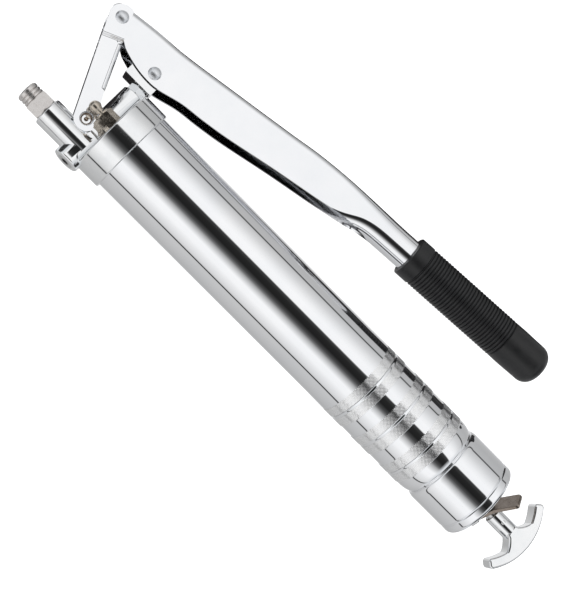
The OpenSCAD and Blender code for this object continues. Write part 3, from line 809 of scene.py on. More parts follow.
class Assembly:
    """Pieces that serve one purpose on the tool."""

    def place(self, obj: Object, finish: Finish, node: str, stands_in: bool = True) -> Object:
        """Dresses a piece and ties it to a CAD node's body.

        Args:
            obj: The finished piece.
            finish: Its finish.
            node: The CAD node that it belongs to.
            stands_in: Whether it takes the node's place.

        Returns:
            The same piece.
        """
        obj.data.materials.clear()
        obj.data.materials.append(finish.material())
        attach(obj, BODY_OF[node])
        if stands_in:
            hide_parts(node)
        LOG.info("%s rides on %s with %d faces", obj.name, BODY_OF[node], len(obj.data.polygons))
        return obj

    def build(self) -> None:
        """Builds every piece of the assembly."""
        raise NotImplementedError


@dataclass
class Barrel(Assembly):
    """Barrel, crimped rear cap and rod guide.

    Attributes:
        wall: Sheet thickness.
        thread_step: Depth of the screwed end below the outside.
        groove_depth: Depth of the crimp.
        shoulder: Length over which the barrel draws in to the crimp.
        first_band: Distance from the crimp to the first knurled band.
        band_width: Width of a band.
        band_gap: Gap inside a pair of bands.
        pair_pitch: Distance between pairs.
        pairs: Number of pairs.
        knurl_height: Height of the knurl.
        stud_height: Height of a stud above the foot of its band.
        stud_rows: Rows of studs in a band.
        stud_columns: Studs in a row.
        cap_wall: Sheet thickness of the rear cap.
        cap_face: Thickness of its flat end.
        cap_corner: Rounding of its outer corner.
        bead: Distance of its bead from its end.
        bush: Radii of the rod guide's bore, hub, collar and flange.
        bracket: Distances of the latch bracket's foot, lip, hook and top from the middle line.
    """

    wall: float = 1.1
    thread_step: float = 0.3
    groove_depth: float = 1.8
    shoulder: float = 9.0
    first_band: float = 75.6
    band_width: float = 6.5
    band_gap: float = 2.0
    pair_pitch: float = 25.0
    pairs: int = 3
    knurl_height: float = 0.3
    stud_height: float = 0.07
    stud_rows: int = 11
    stud_columns: int = 150
    cap_wall: float = 1.6
    cap_face: float = 2.5
    cap_corner: float = 3.4
    bead: float = 7.6
    bush: tuple[float, ...] = (4.05, 7.0, 9.5, 10.5)
    bracket: tuple[float, ...] = (13.7, 10.3, 8.0, 7.0)

    def radius(self) -> float:
        """Plain outside radius of the barrel."""
        return corners("barrel")[1].z - self.knurl_height

    def outside(self, place: float, crimp: float) -> float:
        """Outside radius near a band or the crimp.

        Args:
            place: Place along the barrel.
            crimp: Place of the crimp.

        Returns:
            The radius.
        """
        radius, dip, dip_width, slack, last = self.radius(), 0.35, self.band_gap * 0.36, 0.01, 0.97
        for pair in range(self.pairs):
            start = crimp - self.first_band + pair * self.pair_pitch
            gap = start + self.band_width + self.band_gap / 2
            radius -= dip * math.exp(-(((place - gap) / dip_width) ** 2))
            for edge in (start, start + self.band_width + self.band_gap):
                if edge - slack <= place <= edge + self.band_width + slack:
                    radius += self.knurl_height - self.stud_height
        t = min(max((place - crimp + self.shoulder) / self.shoulder, 0.0), last)
        return radius - self.groove_depth * (1.0 - math.sqrt(1.0 - t * t)) / (1.0 - math.sqrt(1.0 - last**2))

    def build_tube(self) -> None:
        """Builds the barrel."""
        low, high = corners("barrel")
        radius, crimp = self.radius(), high.x
        inside, screwed = radius - self.wall, radius - self.thread_step
        groove = radius - self.groove_depth
        neck, step = groove - self.wall, 0.4
        profile = [(low.x, inside), (low.x, screwed), (0.0, screwed), (0.02, radius)]
        profile += [(20.0 * k, radius) for k in range(1, 10)]
        start = crimp - self.first_band
        fine = [start + step * k for k in range(int(self.first_band / step) + 1)]
        profile += [(x, self.outside(x, crimp)) for x in fine if x < crimp - 0.1]
        profile += [(crimp, groove), (crimp, neck), (crimp - 2, neck), (crimp - 6, inside)]
        self.place(turned(profile, "barrel_shell", steps=192), CHROME, "barrel")

    def build_knurls(self) -> None:
        """Builds the knurled bands."""
        recipe, studs = knurl_recipe()
        lengths = {
            "Radius": self.radius() + self.knurl_height - self.stud_height / 2,
            "First Band": corners("barrel")[1].x - self.first_band,
            "Band Width": self.band_width,
            "Band Pitch": self.band_width + self.band_gap,
            "Pair Pitch": self.pair_pitch,
            "Height": self.stud_height,
        }
        values = {name: length * MM for name, length in lengths.items()}
        values |= {"Pairs": self.pairs, "Rows": self.stud_rows, "Columns": self.stud_columns}
        bands = recipe.run(studs, values, KNURL_CHROME, "knurled_bands")
        self.place(bands, KNURL_CHROME, "barrel", stands_in=False)

    def build_cap(self) -> None:
        """Builds the rear cap, from its crimped mouth round its end and back along its inside."""
        low, high = corners("rear_cap")
        radius, crimp, end = high.z, corners("barrel")[1].x, high.x
        groove = radius - self.groove_depth
        skirt = radius - self.wall - FIT
        neck, inside = skirt - self.groove_depth, radius - self.cap_wall
        mouth, lining, hole = crimp + 0.1, neck - self.cap_wall, self.bush[1] + FIT
        cup = [(mouth, neck), (mouth, groove)]
        for k in range(13):
            turn = math.pi * k / 24
            drop = self.groove_depth * (1 - math.sin(turn))
            cup.append((crimp + 0.5 + 4.5 * (1 - math.cos(turn)), radius - drop))
        bead = end - self.bead
        cup += [(bead - 12, radius), (bead - 1.6, radius)]
        cup += [(bead - 1.2 + 0.3 * k, radius - 0.9 * math.sin(math.pi * k / 8) ** 2) for k in range(1, 8)]
        cup += arc((end - self.cap_corner, radius - self.cap_corner), self.cap_corner, 90, 0, 12)
        face = end - self.cap_face
        cup += [(end, hole), (face, hole), (face, inside), (crimp + 6, inside), (crimp + 2, lining)]
        cup += [(low.x, lining), (low.x, skirt), (crimp - 6.2, skirt), (crimp - 2.2, neck)]
        self.place(turned(cup, "rear_cup", steps=192), CHROME, "rear_cap")

    def build_guide(self) -> None:
        """Builds the rod guide with the bracket that carries the latch."""
        end, (low, high) = corners("rear_cap")[1].x, corners("rod_guide")
        bore, hub, collar, flange = self.bush
        face, rim = end - self.cap_face, end + 2.0
        bush = [(low.x, bore), (low.x, flange), (face, flange), (face, hub), (end, hub), (end, collar)]
        bush = rounded(bush + [(rim, collar), (rim, bore)], [0, 0.5, 0, 0, 0, 0, 0.7, 0.3])
        foot, lip, hook, top = (-y for y in self.bracket)
        post, inner = high.x, high.x - 1.8
        shape = [(end, foot), (post, foot), (post, hook), (inner, hook), (inner, lip), (rim, lip)]
        plate = slab(shape + [(rim, top), (end, top)], -5.0, 5.0)
        plate.transform(LATCH_ROLL)
        bracket = piece(plate, "latch_bracket", bevel=0.25)
        guide = combined(turned(bush, "rod_guide_bush", steps=96), [bracket], Blend.JOIN)
        self.place(guide, STEEL, "rod_guide")

    def build(self) -> None:
        """Builds the barrel group."""
        self.build_tube()
        self.build_knurls()
        self.build_cap()
        self.build_guide()


@dataclass
class Head(Assembly):
    """Pump head casting with its gland nut, and the filler fitting.

    Attributes:
        thread_radius: Radius of the cavity that the barrel screws into.
        face: Thickness of the front wall.
        pump_radius: Radius of the cross cylinder.
        boss_radius: Radius of the check valve boss.
        outlet_radius: Radius of the outlet neck.
        plug_radius: Radius of the check valve plug's hole.
        plug_depth: Depth of that hole.
        lug_radius: Radius of the lug round the lower link pin.
        lug_half: Half of the lug's width.
        edge: Rounding of the casting's turned edges.
        nut_height: Height of the gland nut's hexagon.
        nut_collar: Radius of the gland nut's collar.
        nut_bore: Radius of its bore.
        filler_thread: Radius of the filler fitting's thread.
        filler_turn: Angle of the first corner of its hexagon, in degrees.
        filler_scale: Size of its hexagon against the CAD hexagon, to stay clear of the link.
    """

    thread_radius: float = 27.75
    face: float = 7.0
    pump_radius: float = 7.3
    boss_radius: float = 8.8
    outlet_radius: float = 9.6
    plug_radius: float = 5.2
    plug_depth: float = 7.0
    lug_radius: float = 6.6
    lug_half: float = 7.2
    edge: float = 1.3
    nut_height: float = 4.9
    nut_collar: float = 5.4
    nut_bore: float = 4.05
    filler_thread: float = 3.98
    filler_turn: float = 15.0
    filler_scale: float = 0.968

    def front(self) -> float:
        """Place of the casting's front face."""
        return corners("barrel_gasket")[0].x - self.face

    def build_casting(self) -> None:
        """Builds the casting from its turned shapes and the lug."""
        low, high = corners("pump_head")
        front, pump, outlet = self.front(), middle("plunger").x, middle("coupler_sleeve").y
        foot, thread = middle("link_pin"), self.thread_radius
        pump_top = corners("gland_nut")[1].y - self.nut_height
        inner, floor = front + self.face, low.y + self.plug_depth
        cap = [(front, 0.0), (front, high.z), (0.0, high.z), (0.0, thread), (inner, thread), (inner, 0.0)]
        cap = rounded(cap, [0, self.edge, 1.1, 0.2, 0, 0])
        cross = rounded(band(outlet, pump_top, self.pump_radius), [0, 0, 0.5, 0])
        boss = [(low.y, self.plug_radius), (low.y, self.boss_radius), (-10.0, self.boss_radius), (-10.0, 0.0)]
        boss = rounded(boss + [(floor, 0.0), (floor, self.plug_radius)], [0.4, self.edge, 2.0, 0, 0, 0])
        neck = rounded(band(low.x, pump + 3.0, self.outlet_radius), [0, self.edge, 0, 0])
        lug = arc((foot.x, foot.y), self.lug_radius, 90, 270, 24)
        lug += [(pump, foot.y - self.lug_radius), (pump, foot.y + self.lug_radius)]
        others = [
            turned(cross, "cross_cylinder", Axis.Y, (pump, 0.0), 96),
            turned(boss, "valve_boss", Axis.Y, (pump, 0.0), 96),
            turned(neck, "outlet_neck", Axis.X, (outlet, 0.0), 96),
            piece(slab(lug, -self.lug_half, self.lug_half), "lug", bevel=0.4),
        ]
        casting = combined(turned(cap, "head_casting", steps=192), others, Blend.JOIN)
        self.place(casting, CAST_CHROME, "pump_head")

    def build_gland(self) -> None:
        """Builds the gland nut."""
        low, high = corners("gland_nut")
        centre = (middle("gland_nut").x, 0.0)
        foot = high.y - self.nut_height
        nut = hexagon_bar(foot, high.y, (high.z - low.z) / 2, Axis.Y, centre, 90, "gland")
        collar = turned(band(low.y, foot, self.nut_collar), "collar", Axis.Y, centre)
        bore = turned(band(low.y - 1, high.y + 1, self.nut_bore), "bore", Axis.Y, centre)
        nut = combined(combined(nut, [collar], Blend.JOIN), [bore], Blend.CUT, bevel=0.12)
        self.place(nut, CAST_CHROME, "gland_nut")

    def build_filler(self) -> None:
        """Builds the filler fitting's body and its domed stem."""
        low, high = corners("filler_body")
        spot, front = middle("filler_body"), self.front()
        centre, corner = (spot.y, spot.z), (high.y - low.y) / 2 * self.filler_scale
        body = hexagon_bar(low.x + 1.0, front, corner, Axis.X, centre, self.filler_turn, "filler_nut")
        neck = [(low.x, 0.0), (low.x, 4.5), (low.x + 2, 5.0), (low.x + 2, 0.0)]
        neck = turned(rounded(neck, [0, 0.5, 0, 0]), "neck", Axis.X, centre)
        thread = turned(band(front - 2, high.x, self.filler_thread), "thread", Axis.X, centre)
        self.place(combined(body, [neck, thread], Blend.JOIN), NICKEL, "filler_body")
        tip_low, tip_high = corners("filler_stem")
        spot, ball = middle("filler_stem"), (tip_high.z - tip_low.z) / 2
        seat, stem, foot = low.x - 0.9, 1.6, 2.6
        shape = [(tip_low.x, 0.0), *arc((tip_low.x + ball, 0.0), ball, 176, 52, 14)]
        shape += [(low.x - 1.9, foot), (low.x - 1.2, 2.9), (seat, 2.9), (seat, stem)]
        shape += [(tip_high.x - 1.6, stem), (tip_high.x - 1.6, foot), (tip_high.x, foot), (tip_high.x, 0.0)]
        self.place(turned(shape, "filler_tip", Axis.X, (spot.y, spot.z)), NICKEL, "filler_stem")

    def build(self) -> None:
        """Builds the head group."""
        self.build_casting()
        self.build_gland()
        self.build_filler()


@dataclass
class Coupler(Assembly):
    """Hexagonal coupler body and its turned nose.

    Attributes:
        turn: Angle of the hexagon's first corner, in degrees.
        corner: Radius to its corners.
        spigot: Radius of the spigot that the nose sits on.
        chamber: Radius of the chamber in the body.
        thread: Radius of the thread.
        mouth: Radius of the mouth.
        rings: Number of turned grooves on the nose.
        pitch: Distance between the grooves.
        groove: Depth of a groove.
    """

    turn: float = 105.0
    corner: float = 8.4
    spigot: float = 5.6
    chamber: float = 4.6
    thread: float = 4.98
    mouth: float = 3.9
    rings: int = 2
    pitch: float = 2.3
    groove: float = 0.55

    def build_body(self) -> None:
        """Builds the coupler body."""
        low, high = corners("coupler_body")
        nose, outlet = corners("coupler_sleeve")[1].x, corners("pump_head")[0].x
        centre = (middle("coupler_sleeve").y, 0.0)
        body = hexagon_bar(nose, outlet - 0.02, self.corner, Axis.X, centre, self.turn, "coupler_hexagon")
        collar = turned(band(low.x, nose, self.spigot, self.chamber), "collar", Axis.X, centre)
        thread = turned(band(outlet - 0.5, high.x, self.thread), "thread", Axis.X, centre)
        chamber = turned(band(low.x - 1, outlet - 2, self.chamber), "chamber", Axis.X, centre)
        body = combined(body, [collar, thread], Blend.JOIN)
        self.place(combined(body, [chamber], Blend.CUT, bevel=0.15), ZINC, "coupler_body")

    def build_nose(self) -> None:
        """Builds the grooved nose."""
        low, high = corners("coupler_sleeve")
        radius, corner, seat = (high.z - low.z) / 2, 1.6, self.spigot + 0.02
        nose = [(low.x, self.mouth), *arc((low.x + corner, radius - corner), corner, 180, 90, 8)]
        for k in range(1, self.rings + 1):
            place = low.x + 1.2 + k * self.pitch
            for i in range(-5, 6):
                nose.append((place + 0.12 * i, radius - self.groove * math.cos(math.pi * i / 10) ** 2))
        nose += [(high.x - 0.4, radius), (high.x, radius - 0.4), (high.x, seat)]
        nose += [(low.x + 2, seat), (low.x + 2, self.mouth)]
        centre = (middle("coupler_sleeve").y, 0.0)
        self.place(turned(nose, "coupler_nose", Axis.X, centre, 96), ZINC, "coupler_sleeve")

    def build(self) -> None:
        """Builds both pieces of the coupler."""
        self.build_body()
        self.build_nose()


@dataclass
class Linkage(Assembly):
    """Link, lever, grip, pins and plunger head.

    Attributes:
        sheet: Thickness of the lever's sheet.
        link_sheet: Thickness of the link's sheet.
        joggle: Distance of the link's offset from the lever pin.
        web: Distances of the link's web from its ends.
        bend: Outside radius of the link's web bends.
        eyes: Radii of the link's ends, round its lower pin and round the lever pin.
        cheek: Distance of the link's lower outside faces from the middle.
        back: Points of the lever's back, from the plunger pin.
        edge: Points of the lever's open edge, from the plunger pin.
        stations: Cross-sections along the lever.
        crown: Rounding of the lever's back.
        nose: Rounding of the lever's front corners.
        curl: Places where the lever starts to curl in and where it has closed.
        ribs: Number of ribs on the grip.
        collar: Length of the grip's plain front.
    """

    sheet: float = 1.5
    link_sheet: float = 1.7
    joggle: float = 12.7
    web: Point = (21.0, 16.0)
    bend: float = 2.6
    eyes: Point = (7.8, 8.3)
    cheek: float = 9.3
    back: tuple[Point, ...] = ((-46.9, 17.6), (-42, 18.0), (-17, 21.5), (4, 23.5), (40, 29.5), (84, 37.1),
                               (109, 41.6), (149, 46.0), (192, 49.4))
    edge: tuple[Point, ...] = ((-46.9, 4.9), (-45.3, 4.9), (-31, 1.9), (-26.2, 0.2), (-22, -2.2), (-12, -5.0),
                               (-3.2, -6.2), (6.4, -5.9), (24.3, -1.1), (40, 1.1), (57.6, 4.2), (93, 12.2),
                               (123, 18.4), (141, 22.5), (158, 25.2), (192, 28.0))
    stations: int = 150
    crown: float = 4.4
    nose: float = 3.4
    curl: Point = (104.0, 150.0)
    ribs: int = 30
    collar: float = 11.0

    def rivet(self, node: str, shank: float, name: str) -> None:
        """Builds a rivet with two domed heads in place of a CAD pin.

        Args:
            node: The pin's CAD node.
            shank: Radius of the shank.
            name: The rivet's name.
        """
        low, high = corners(node)
        head, rise = (high.x - low.x) / 2, 1.8
        dome = (head * head + rise * rise) / (2 * rise)
        top = arc((high.z - dome, 0.0), dome, math.degrees(math.asin(head / dome)), 0, 8)
        shape = [(low.z, 0.0)] + flipped(top, low.z + high.z)
        shape += [(low.z + rise, shank), (high.z - rise, shank)] + top
        self.place(turned(shape, name, Axis.Z, middle(node)[:2]), RIVET_CHROME, node)

    def build_pins(self) -> None:
        """Builds the two rivets and the link's lower pin with its blind ends, whose dark brown plugs are
        painted shade in the recesses.
        """
        self.rivet("lever_pin", 3.0, "lever_rivet")
        self.rivet("plunger_pin", 2.6, "plunger_rivet")
        low, high = corners("link_pin")
        top, total, centre = high.z, low.z + high.z, middle("link_pin")[:2]
        end = [(top, 4.3), (top, 3.75), (top - 2.8, 3.65), (top - 2.8, 0.0)]
        pin = rounded(flipped(end, total) + end, [0, 0.3, 0.2, 0.25, 0.25, 0.2, 0.3, 0], 3)
        self.place(turned(pin, "hinge_pin", Axis.Z, centre), RIVET_CHROME, "link_pin")
        # Dark plugs in both blind ends: their colour is painted shade inside the recesses.
        plug = [(top - 2.75, 0.0), (top - 2.75, 3.6), (top - 0.7, 3.6)]
        plug += [(top - 2.5, 2.0), (top - 1.3, 1.1), (top - 1.0, 0.0)]
        plug = rounded(plug, [0, 0.1, 0.2, 0.5, 0.5, 0], 4)
        for shape, name in ((plug, "pin_recess_upper"), (flipped(plug, total), "pin_recess_lower")):
            recess = turned(shape, name, Axis.Z, centre, 48)
            self.place(recess, PIN_RECESS_SHADE, "link_pin", stands_in=False)

    def link_frame(self) -> tuple[Matrix, float]:
        """Finds how the link lies.

        Returns:
            The placing of its own axes, and the distance between its pins.
        """
        foot, top = middle("link_pin"), middle("lever_pin")
        way = Vector((top.x - foot.x, top.y - foot.y, 0.0))
        turn = Matrix.Rotation(math.atan2(way.y, way.x), 4, "Z")
        return Matrix.Translation((foot.x, foot.y, 0.0)) @ turn, way.length

    def build_cheeks(self) -> None:
        """Builds the link's two joggled cheeks."""
        placing, length = self.link_frame()
        eye, ear = self.eyes
        start, end = self.web[0], length - self.web[1]
        ends = arc((length, 0.0), ear, -42, 78, 22) + arc((0.0, 0.0), eye, 90, 225, 26)
        notch = [(start - 6.0, -4.9), (start - 1.2, -4.7), (start, -5.0 + self.bend)]
        notch += [(end, -5.5 + self.bend), (end + 1.2, -5.5)]
        outline = rounded(ends + notch, [0.0] * len(ends) + [3.0, 1.2, 0.6, 0.6, 1.2], 4)
        hole = arc((0.0, 0.0), 4.38, 0, -350, 35)
        cheek = slab(outline, self.cheek - self.link_sheet, self.cheek, [hole])
        shift = corners("link")[1].z - self.cheek
        near, far = length - self.joggle - 1.8, length - self.joggle + 0.4
        for k in range(9):
            spot = (near + (far - near) * k / 8, 0, 0)
            parts = [*cheek.verts, *cheek.edges, *cheek.faces]
            bmesh.ops.bisect_plane(cheek, geom=parts, plane_co=spot, plane_no=(1, 0, 0))
        for vert in cheek.verts:
            vert.co.z += shift * ease(vert.co.x, near, far)
        mirror = cheek.copy()
        bmesh.ops.scale(mirror, vec=(1, 1, -1), verts=mirror.verts)
        bmesh.ops.reverse_faces(mirror, faces=mirror.faces)
        both = joined(cheek, mirror)
        both.transform(placing)
        self.place(piece(both, "link_cheeks", bevel=0.45, sharp=50), SHEET_CHROME, "link")

    def build_web(self) -> None:
        """Builds the link's web, bent from one cheek to the other."""
        placing, length = self.link_frame()
        start, end = self.web[0], length - self.web[1]
        rows, core = [], self.link_sheet / 2
        for k in range(13):
            s, edge = start + (end - start) * k / 12, -5.0 - 0.5 * k / 12
            bent = arc((edge + self.bend, self.cheek - self.bend), self.bend - core, 90, 180, 6)
            half = [(edge + self.bend, self.cheek - core)] + bent[1:]
            full = half + [(edge + core, 0.0)] + [(t, -z) for t, z in reversed(half)]
            rows.append([(s, t, z) for t, z in full])
        web = piece(loft(rows, Vector((0, -1, 0))), "link_web")
        web.data.transform(Matrix.Scale(MM, 4) @ placing @ Matrix.Scale(1 / MM, 4))
        modified(web, "SOLIDIFY", thickness=self.link_sheet * MM, offset=0.0, use_even_offset=True)
        soften(web, bevel=0.25, sharp=50)
        self.place(web, SHEET_CHROME, "link", stands_in=False)

    def lever_line(self, points: Sequence[Point]) -> Callable[[float], float]:
        """Height of one of the lever's edges, by place along the barrel."""
        pin = middle("plunger_pin")
        return curve_through([(pin.x + x, pin.y + y) for x, y in points])

    def lever_section(self, place: float, top: float, foot: float, width: float) -> list[Point]:
        """Cross-section of the lever.

        Args:
            place: Place along the barrel.
            top: Height of its back.
            foot: Height of its open edge.
            width: Half of its width.

        Returns:
            The section as (across, height) points, from edge to edge over the back.
        """
        crown = self.crown + (width - self.crown) * ease(place, 96.0, 160.0)
        roll = math.radians(2.0 + 87.9 * ease(place, *self.curl))
        lip = 1.2 + (width - 1.2) * ease(place, self.curl[0] - 6.0, self.curl[0] + 26.0)
        straight = foot + lip * math.sin(roll)
        span = max((top - crown) - straight, 0.2)
        half = [(0.0, top), ((width - crown) * 0.5 + 1e-4, top)]
        half += arc((width - crown, top - crown), crown, 90, 0, 10)
        half += [(width, top - crown - span * k / 8) for k in range(1, 9)]
        for k in range(1, 11):
            turn = roll * k / 10
            half.append((max(width - lip + lip * math.cos(turn), 0.02), straight - lip * math.sin(turn)))
        return half[::-1] + [(-z, y) for z, y in half[1:]]

    def build_lever(self) -> None:
        """Builds the lever: a channel that curls into a closed tail inside the grip."""
        back, edge = self.lever_line(self.back), self.lever_line(self.edge)
        low, high = corners("lever")
        mouth = corners("grip")[0].x + 1.0
        front, tail, nose = low.x, mouth + 14.0, self.nose
        cut, cut_middle, cut_half, leaning = 1.6, 47.2, 11.3, front + 12.0
        rows = []
        for i in range(self.stations + 1):
            u = i / self.stations
            place = front + (tail - front) * (u + 0.55 * u * u * (1 - u) - 0.35 * u * (1 - u))
            drop = nose - math.sqrt(max(nose**2 - max(nose - (place - front), 0.0) ** 2, 0.0))
            climb = max(place - mouth, 0.0) * math.tan(GRIP_SLOPE)
            top, foot = back(place) - drop + climb, edge(place) + drop + climb
            section = self.lever_section(place, top, foot, high.z)
            lean = -cut * (1 - ease(place, front, leaning)) * (0.6 if i else 1.0)
            rows.append([(place + lean * ((y - cut_middle) / cut_half), y, z) for z, y in section])
        shift = front - min(spot[0] for spot in rows[0])
        for i, row in enumerate(rows):
            rows[i] = [(max(x + shift * (1 - ease(x, front, leaning)), front), y, z) for x, y, z in row]
        lever = piece(loft(rows, Vector((0, 1, 0))), "lever_sheet", sharp=60)
        modified(lever, "SOLIDIFY", thickness=self.sheet * MM, offset=-1.0, use_even_offset=True)
        soften(lever, bevel=0.4, sharp=60)
        self.place(lever, SHEET_CHROME, "lever")

    def build_grip(self) -> None:
        """Builds the ribbed grip on the lever's tail."""
        low, high = corners("grip")
        radius = high.z
        sine, cosine = math.sin(GRIP_SLOPE), math.cos(GRIP_SLOPE)
        mouth = Vector((low.x + radius * sine, low.y + radius * cosine, 0.0))
        length = (high.x - mouth.x) / cosine - 0.4
        collar, zone, base, depth = self.collar, length * 0.61, radius - 1.1, 14.5
        ribbed = collar + zone
        shape = [(0.0, 9.6), (0.0, radius - 0.9), *arc((0.9, radius - 0.9), 0.9, 180, 90, 5)[1:]]
        shape += [(collar - 1.0, radius), (collar - 0.3, base), (ribbed + 0.2, base)]
        shape += [(ribbed + 0.9, radius - 0.25), (ribbed + 9, radius - 0.1), (length - 12, radius - 0.3)]
        shape += arc((length - 9.0, radius - 9.3), 9.0, 88, 0, 16)
        shape += [(length, 0.0), (depth, 0.0), (depth, 9.4)]
        sleeve = lathe(shape, steps=96)
        sleeve.transform(Matrix.Translation(mouth) @ Matrix.Rotation(GRIP_SLOPE, 4, "Z"))
        self.place(piece(sleeve, "grip_sleeve"), GRIP_RUBBER, "grip")
        recipe, ribs = rib_recipe()
        pitch = zone / self.ribs
        values = {
            "Radius": (radius - FIT) * MM,
            "Thickness": pitch * 0.43 * MM,
            "First": (collar + pitch * 0.55) * MM,
            "Pitch": pitch * MM,
            "Count": self.ribs,
            "Mouth": tuple(mouth * MM),
            "Slope": GRIP_SLOPE,
        }
        row = recipe.run(ribs, values, GRIP_RUBBER, "grip_ribs")
        self.place(row, GRIP_RUBBER, "grip", stands_in=False)

    def build_plunger(self) -> None:
        """Builds the plunger and the block that the lever drives."""
        low, high = corners("plunger")
        rod = rounded(band(low.y, high.y, 4.0), [0, 0.4, 0, 0])
        self.place(turned(rod, "plunger_rod", Axis.Y, (middle("plunger").x, 0.0)), STEEL, "plunger")
        low, high = corners("plunger_head")
        pin, slot_radius, slot_length = middle("plunger_pin"), 2.95, 2.7
        outline = [(low.x, low.y), (high.x, low.y), (high.x, high.y), (pin.x - 4.0, high.y)]
        outline = rounded(outline + [(low.x, low.y + 7.0)], [0.8, 0.8, 3.0, 3.0, 2.0])
        slot = arc((pin.x, pin.y), slot_radius, 90, 270, 16)
        slot += arc((pin.x + slot_length, pin.y), slot_radius, -90, 90, 16)
        block = piece(slab(outline, low.z, high.z, [slot]), "plunger_block", bevel=0.35, sharp=50)
        self.place(block, CAST_CHROME, "plunger_head")

    def build(self) -> None:
        """Builds the linkage."""
        self.build_pins()
        self.build_cheeks()
        self.build_web()
        self.build_lever()
        self.build_grip()
        self.build_plunger()


@dataclass
class RodGroup(Assembly):
    """Follower rod, T-handle and lock latch.

    Attributes:
        groove: Places of the ends of the rod's lock groove.
        groove_depth: Depth of that groove.
        curve: Radius of the T-handle's outer curve.
        bow: Width of its bow.
        tip: Rounding of the corners of its tips.
        edge: Rounding of its edges.
        stem: Radius of its stem.
        tilt: Lean of the latch's plate and of its tab, in degrees.
        foot: Distance of the latch's foot from the rod's middle line.
        bend: Distance of its bend from that line.
        reach: Distance of the end of its tab from that line.
        sheet: Thickness of its sheet.
    """

    groove: Point = (84.0, 87.0)
    groove_depth: float = 0.8
    curve: float = 43.0
    bow: float = 6.7
    tip: float = 2.4
    edge: float = 1.5
    stem: float = 5.75
    tilt: Point = (8.0, 24.0)
    foot: float = 9.5
    bend: float = 7.0
    reach: float = 22.3
    sheet: float = 2.2

    def build_rod(self) -> None:
        """Builds the follower rod with its lock groove."""
        low, high = corners("follower_rod")
        radius, start, end = high.z, *self.groove
        floor = radius - self.groove_depth
        shape = [(low.x, 0.0), (low.x, radius), (start, radius), (start, floor), (end, floor), (end, radius)]
        shape = rounded(shape + [(high.x, radius), (high.x, 0.0)], [0, 0.5, 0.1, 0.1, 0.1, 0.1, 0.5, 0])
        self.place(turned(shape, "pull_rod"), STEEL, "follower_rod")

    def build_handle(self) -> None:
        """Builds the T-handle: a bow of even width with blunt tips, webs and a turned stem."""
        low, high = corners("t_handle")
        centre, mean = high.x - self.curve, self.curve - self.bow / 2
        lean = math.degrees(math.asin((high.y - self.bow / 2) / mean) + 0.37 * self.bow / mean)
        hollow, inner = self.curve - self.bow, high.x - self.bow
        far = lean - math.degrees(self.tip / (self.curve - self.tip))
        near = lean - math.degrees(self.tip / (hollow + self.tip))
        half = arc((centre, 0.0), self.curve, 0.0, far, 24)
        for turn, reach, start in ((far, self.curve - self.tip, 0.0), (near, hollow + self.tip, 90.0)):
            spot = (centre + reach * math.cos(math.radians(turn)), reach * math.sin(math.radians(turn)))
            half += arc(spot, self.tip, turn + start, turn + start + 90.0, 8)
        half += arc((centre, 0.0), hollow, near, math.degrees(math.asin(12.4 / hollow)), 14)[1:]
        web = ((2.5, 10.9), (3.7, 8.7), (5.2, 6.7), (7.0, 4.8), (9.1, 3.5))
        half += [(inner - x, y) for x, y in web]
        outline = half + [(x, -y) for x, y in reversed(half[1:])]
        bar = piece(slab(outline, low.z, high.z), "handle_bar", bevel=self.edge, sharp=60, steps=5)
        stem = turned(rounded(band(low.x, inner + 0.5, self.stem), [0, 0.9, 1.0, 0]), "stem", steps=96)
        self.place(combined(bar, [stem], Blend.JOIN), CAST_CHROME, "t_handle")

    def latch_side(self, hinge: float) -> list[Point]:
        """Side outline of the bent latch.

        Args:
            hinge: Place of the latch's foot along the barrel.

        Returns:
            The outline.
        """
        knee, (lean, slope) = self.foot + self.bend, (math.radians(a) for a in self.tilt)
        knee_x, tip = knee * math.tan(lean), self.foot + self.reach
        tab_x = knee_x + (self.reach - self.bend) * math.tan(slope)
        far_x, far = tab_x + self.sheet * math.cos(slope), tip - self.sheet * math.sin(slope)
        side = [(0.0, 0.0), (knee_x, knee), (tab_x, tip), (far_x, far)]
        side += [(knee_x + self.sheet * 1.05, knee - self.sheet * 0.4), (self.sheet, -0.3)]
        return rounded([(hinge + x, y - self.foot) for x, y in side], [0.5, 3.0, 0.9, 0.9, 3.0, 0.5])

    def build_latch(self) -> None:
        """Builds the bent lock latch with its hole for the rod."""
        hinge, half, far = corners("latch_spring")[1].x + FIT, 7.0, -14.0
        latch = piece(slab(self.latch_side(hinge), -half, half), "latch_plate", bevel=0.5, sharp=50)
        plan = [(far, -half), (self.reach, -half), (self.reach, half), (far, half)]
        tongue = slab(rounded(plan, [0.0, 3.6, 3.6, 0.0], 8), hinge - 4.0, hinge + 30.0)
        tongue.transform(Matrix(((0, 0, 1, 0), (1, 0, 0, 0), (0, 1, 0, 0), (0, 0, 0, 1))))
        bmesh.ops.recalc_face_normals(tongue, faces=tongue.faces)
        hole = turned(band(hinge - 5, hinge + 9, 4.5), "hole")
        latch = combined(latch, [piece(tongue, "tongue")], Blend.MEET)
        latch = combined(latch, [hole], Blend.CUT, bevel=0.2)
        latch.data.transform(LATCH_ROLL)
        self.place(latch, LATCH_STEEL, "lock_latch")

    def build(self) -> None:
        """Builds the rod group."""
        self.build_rod()
        self.build_handle()
        self.build_latch()


@dataclass
class InnerParts(Assembly):
    """CAD pieces that keep their own shape and only need a finish.

    Attributes:
        finishes: Finish of each material slot.
    """

    finishes: dict[str, Finish] = field(default_factory=lambda: dict(NODE_FINISH))

    def build(self) -> None:
        """Dresses every CAD node."""
        for name, obj in frame["nodes"].items():
            material = self.finishes[SLOT_OF[name]].material()
            if not obj.material_slots:
                obj.data.materials.append(material)
            for slot in obj.material_slots:
                slot.material = material
        LOG.info("%d inner parts dressed", len(frame["nodes"]))


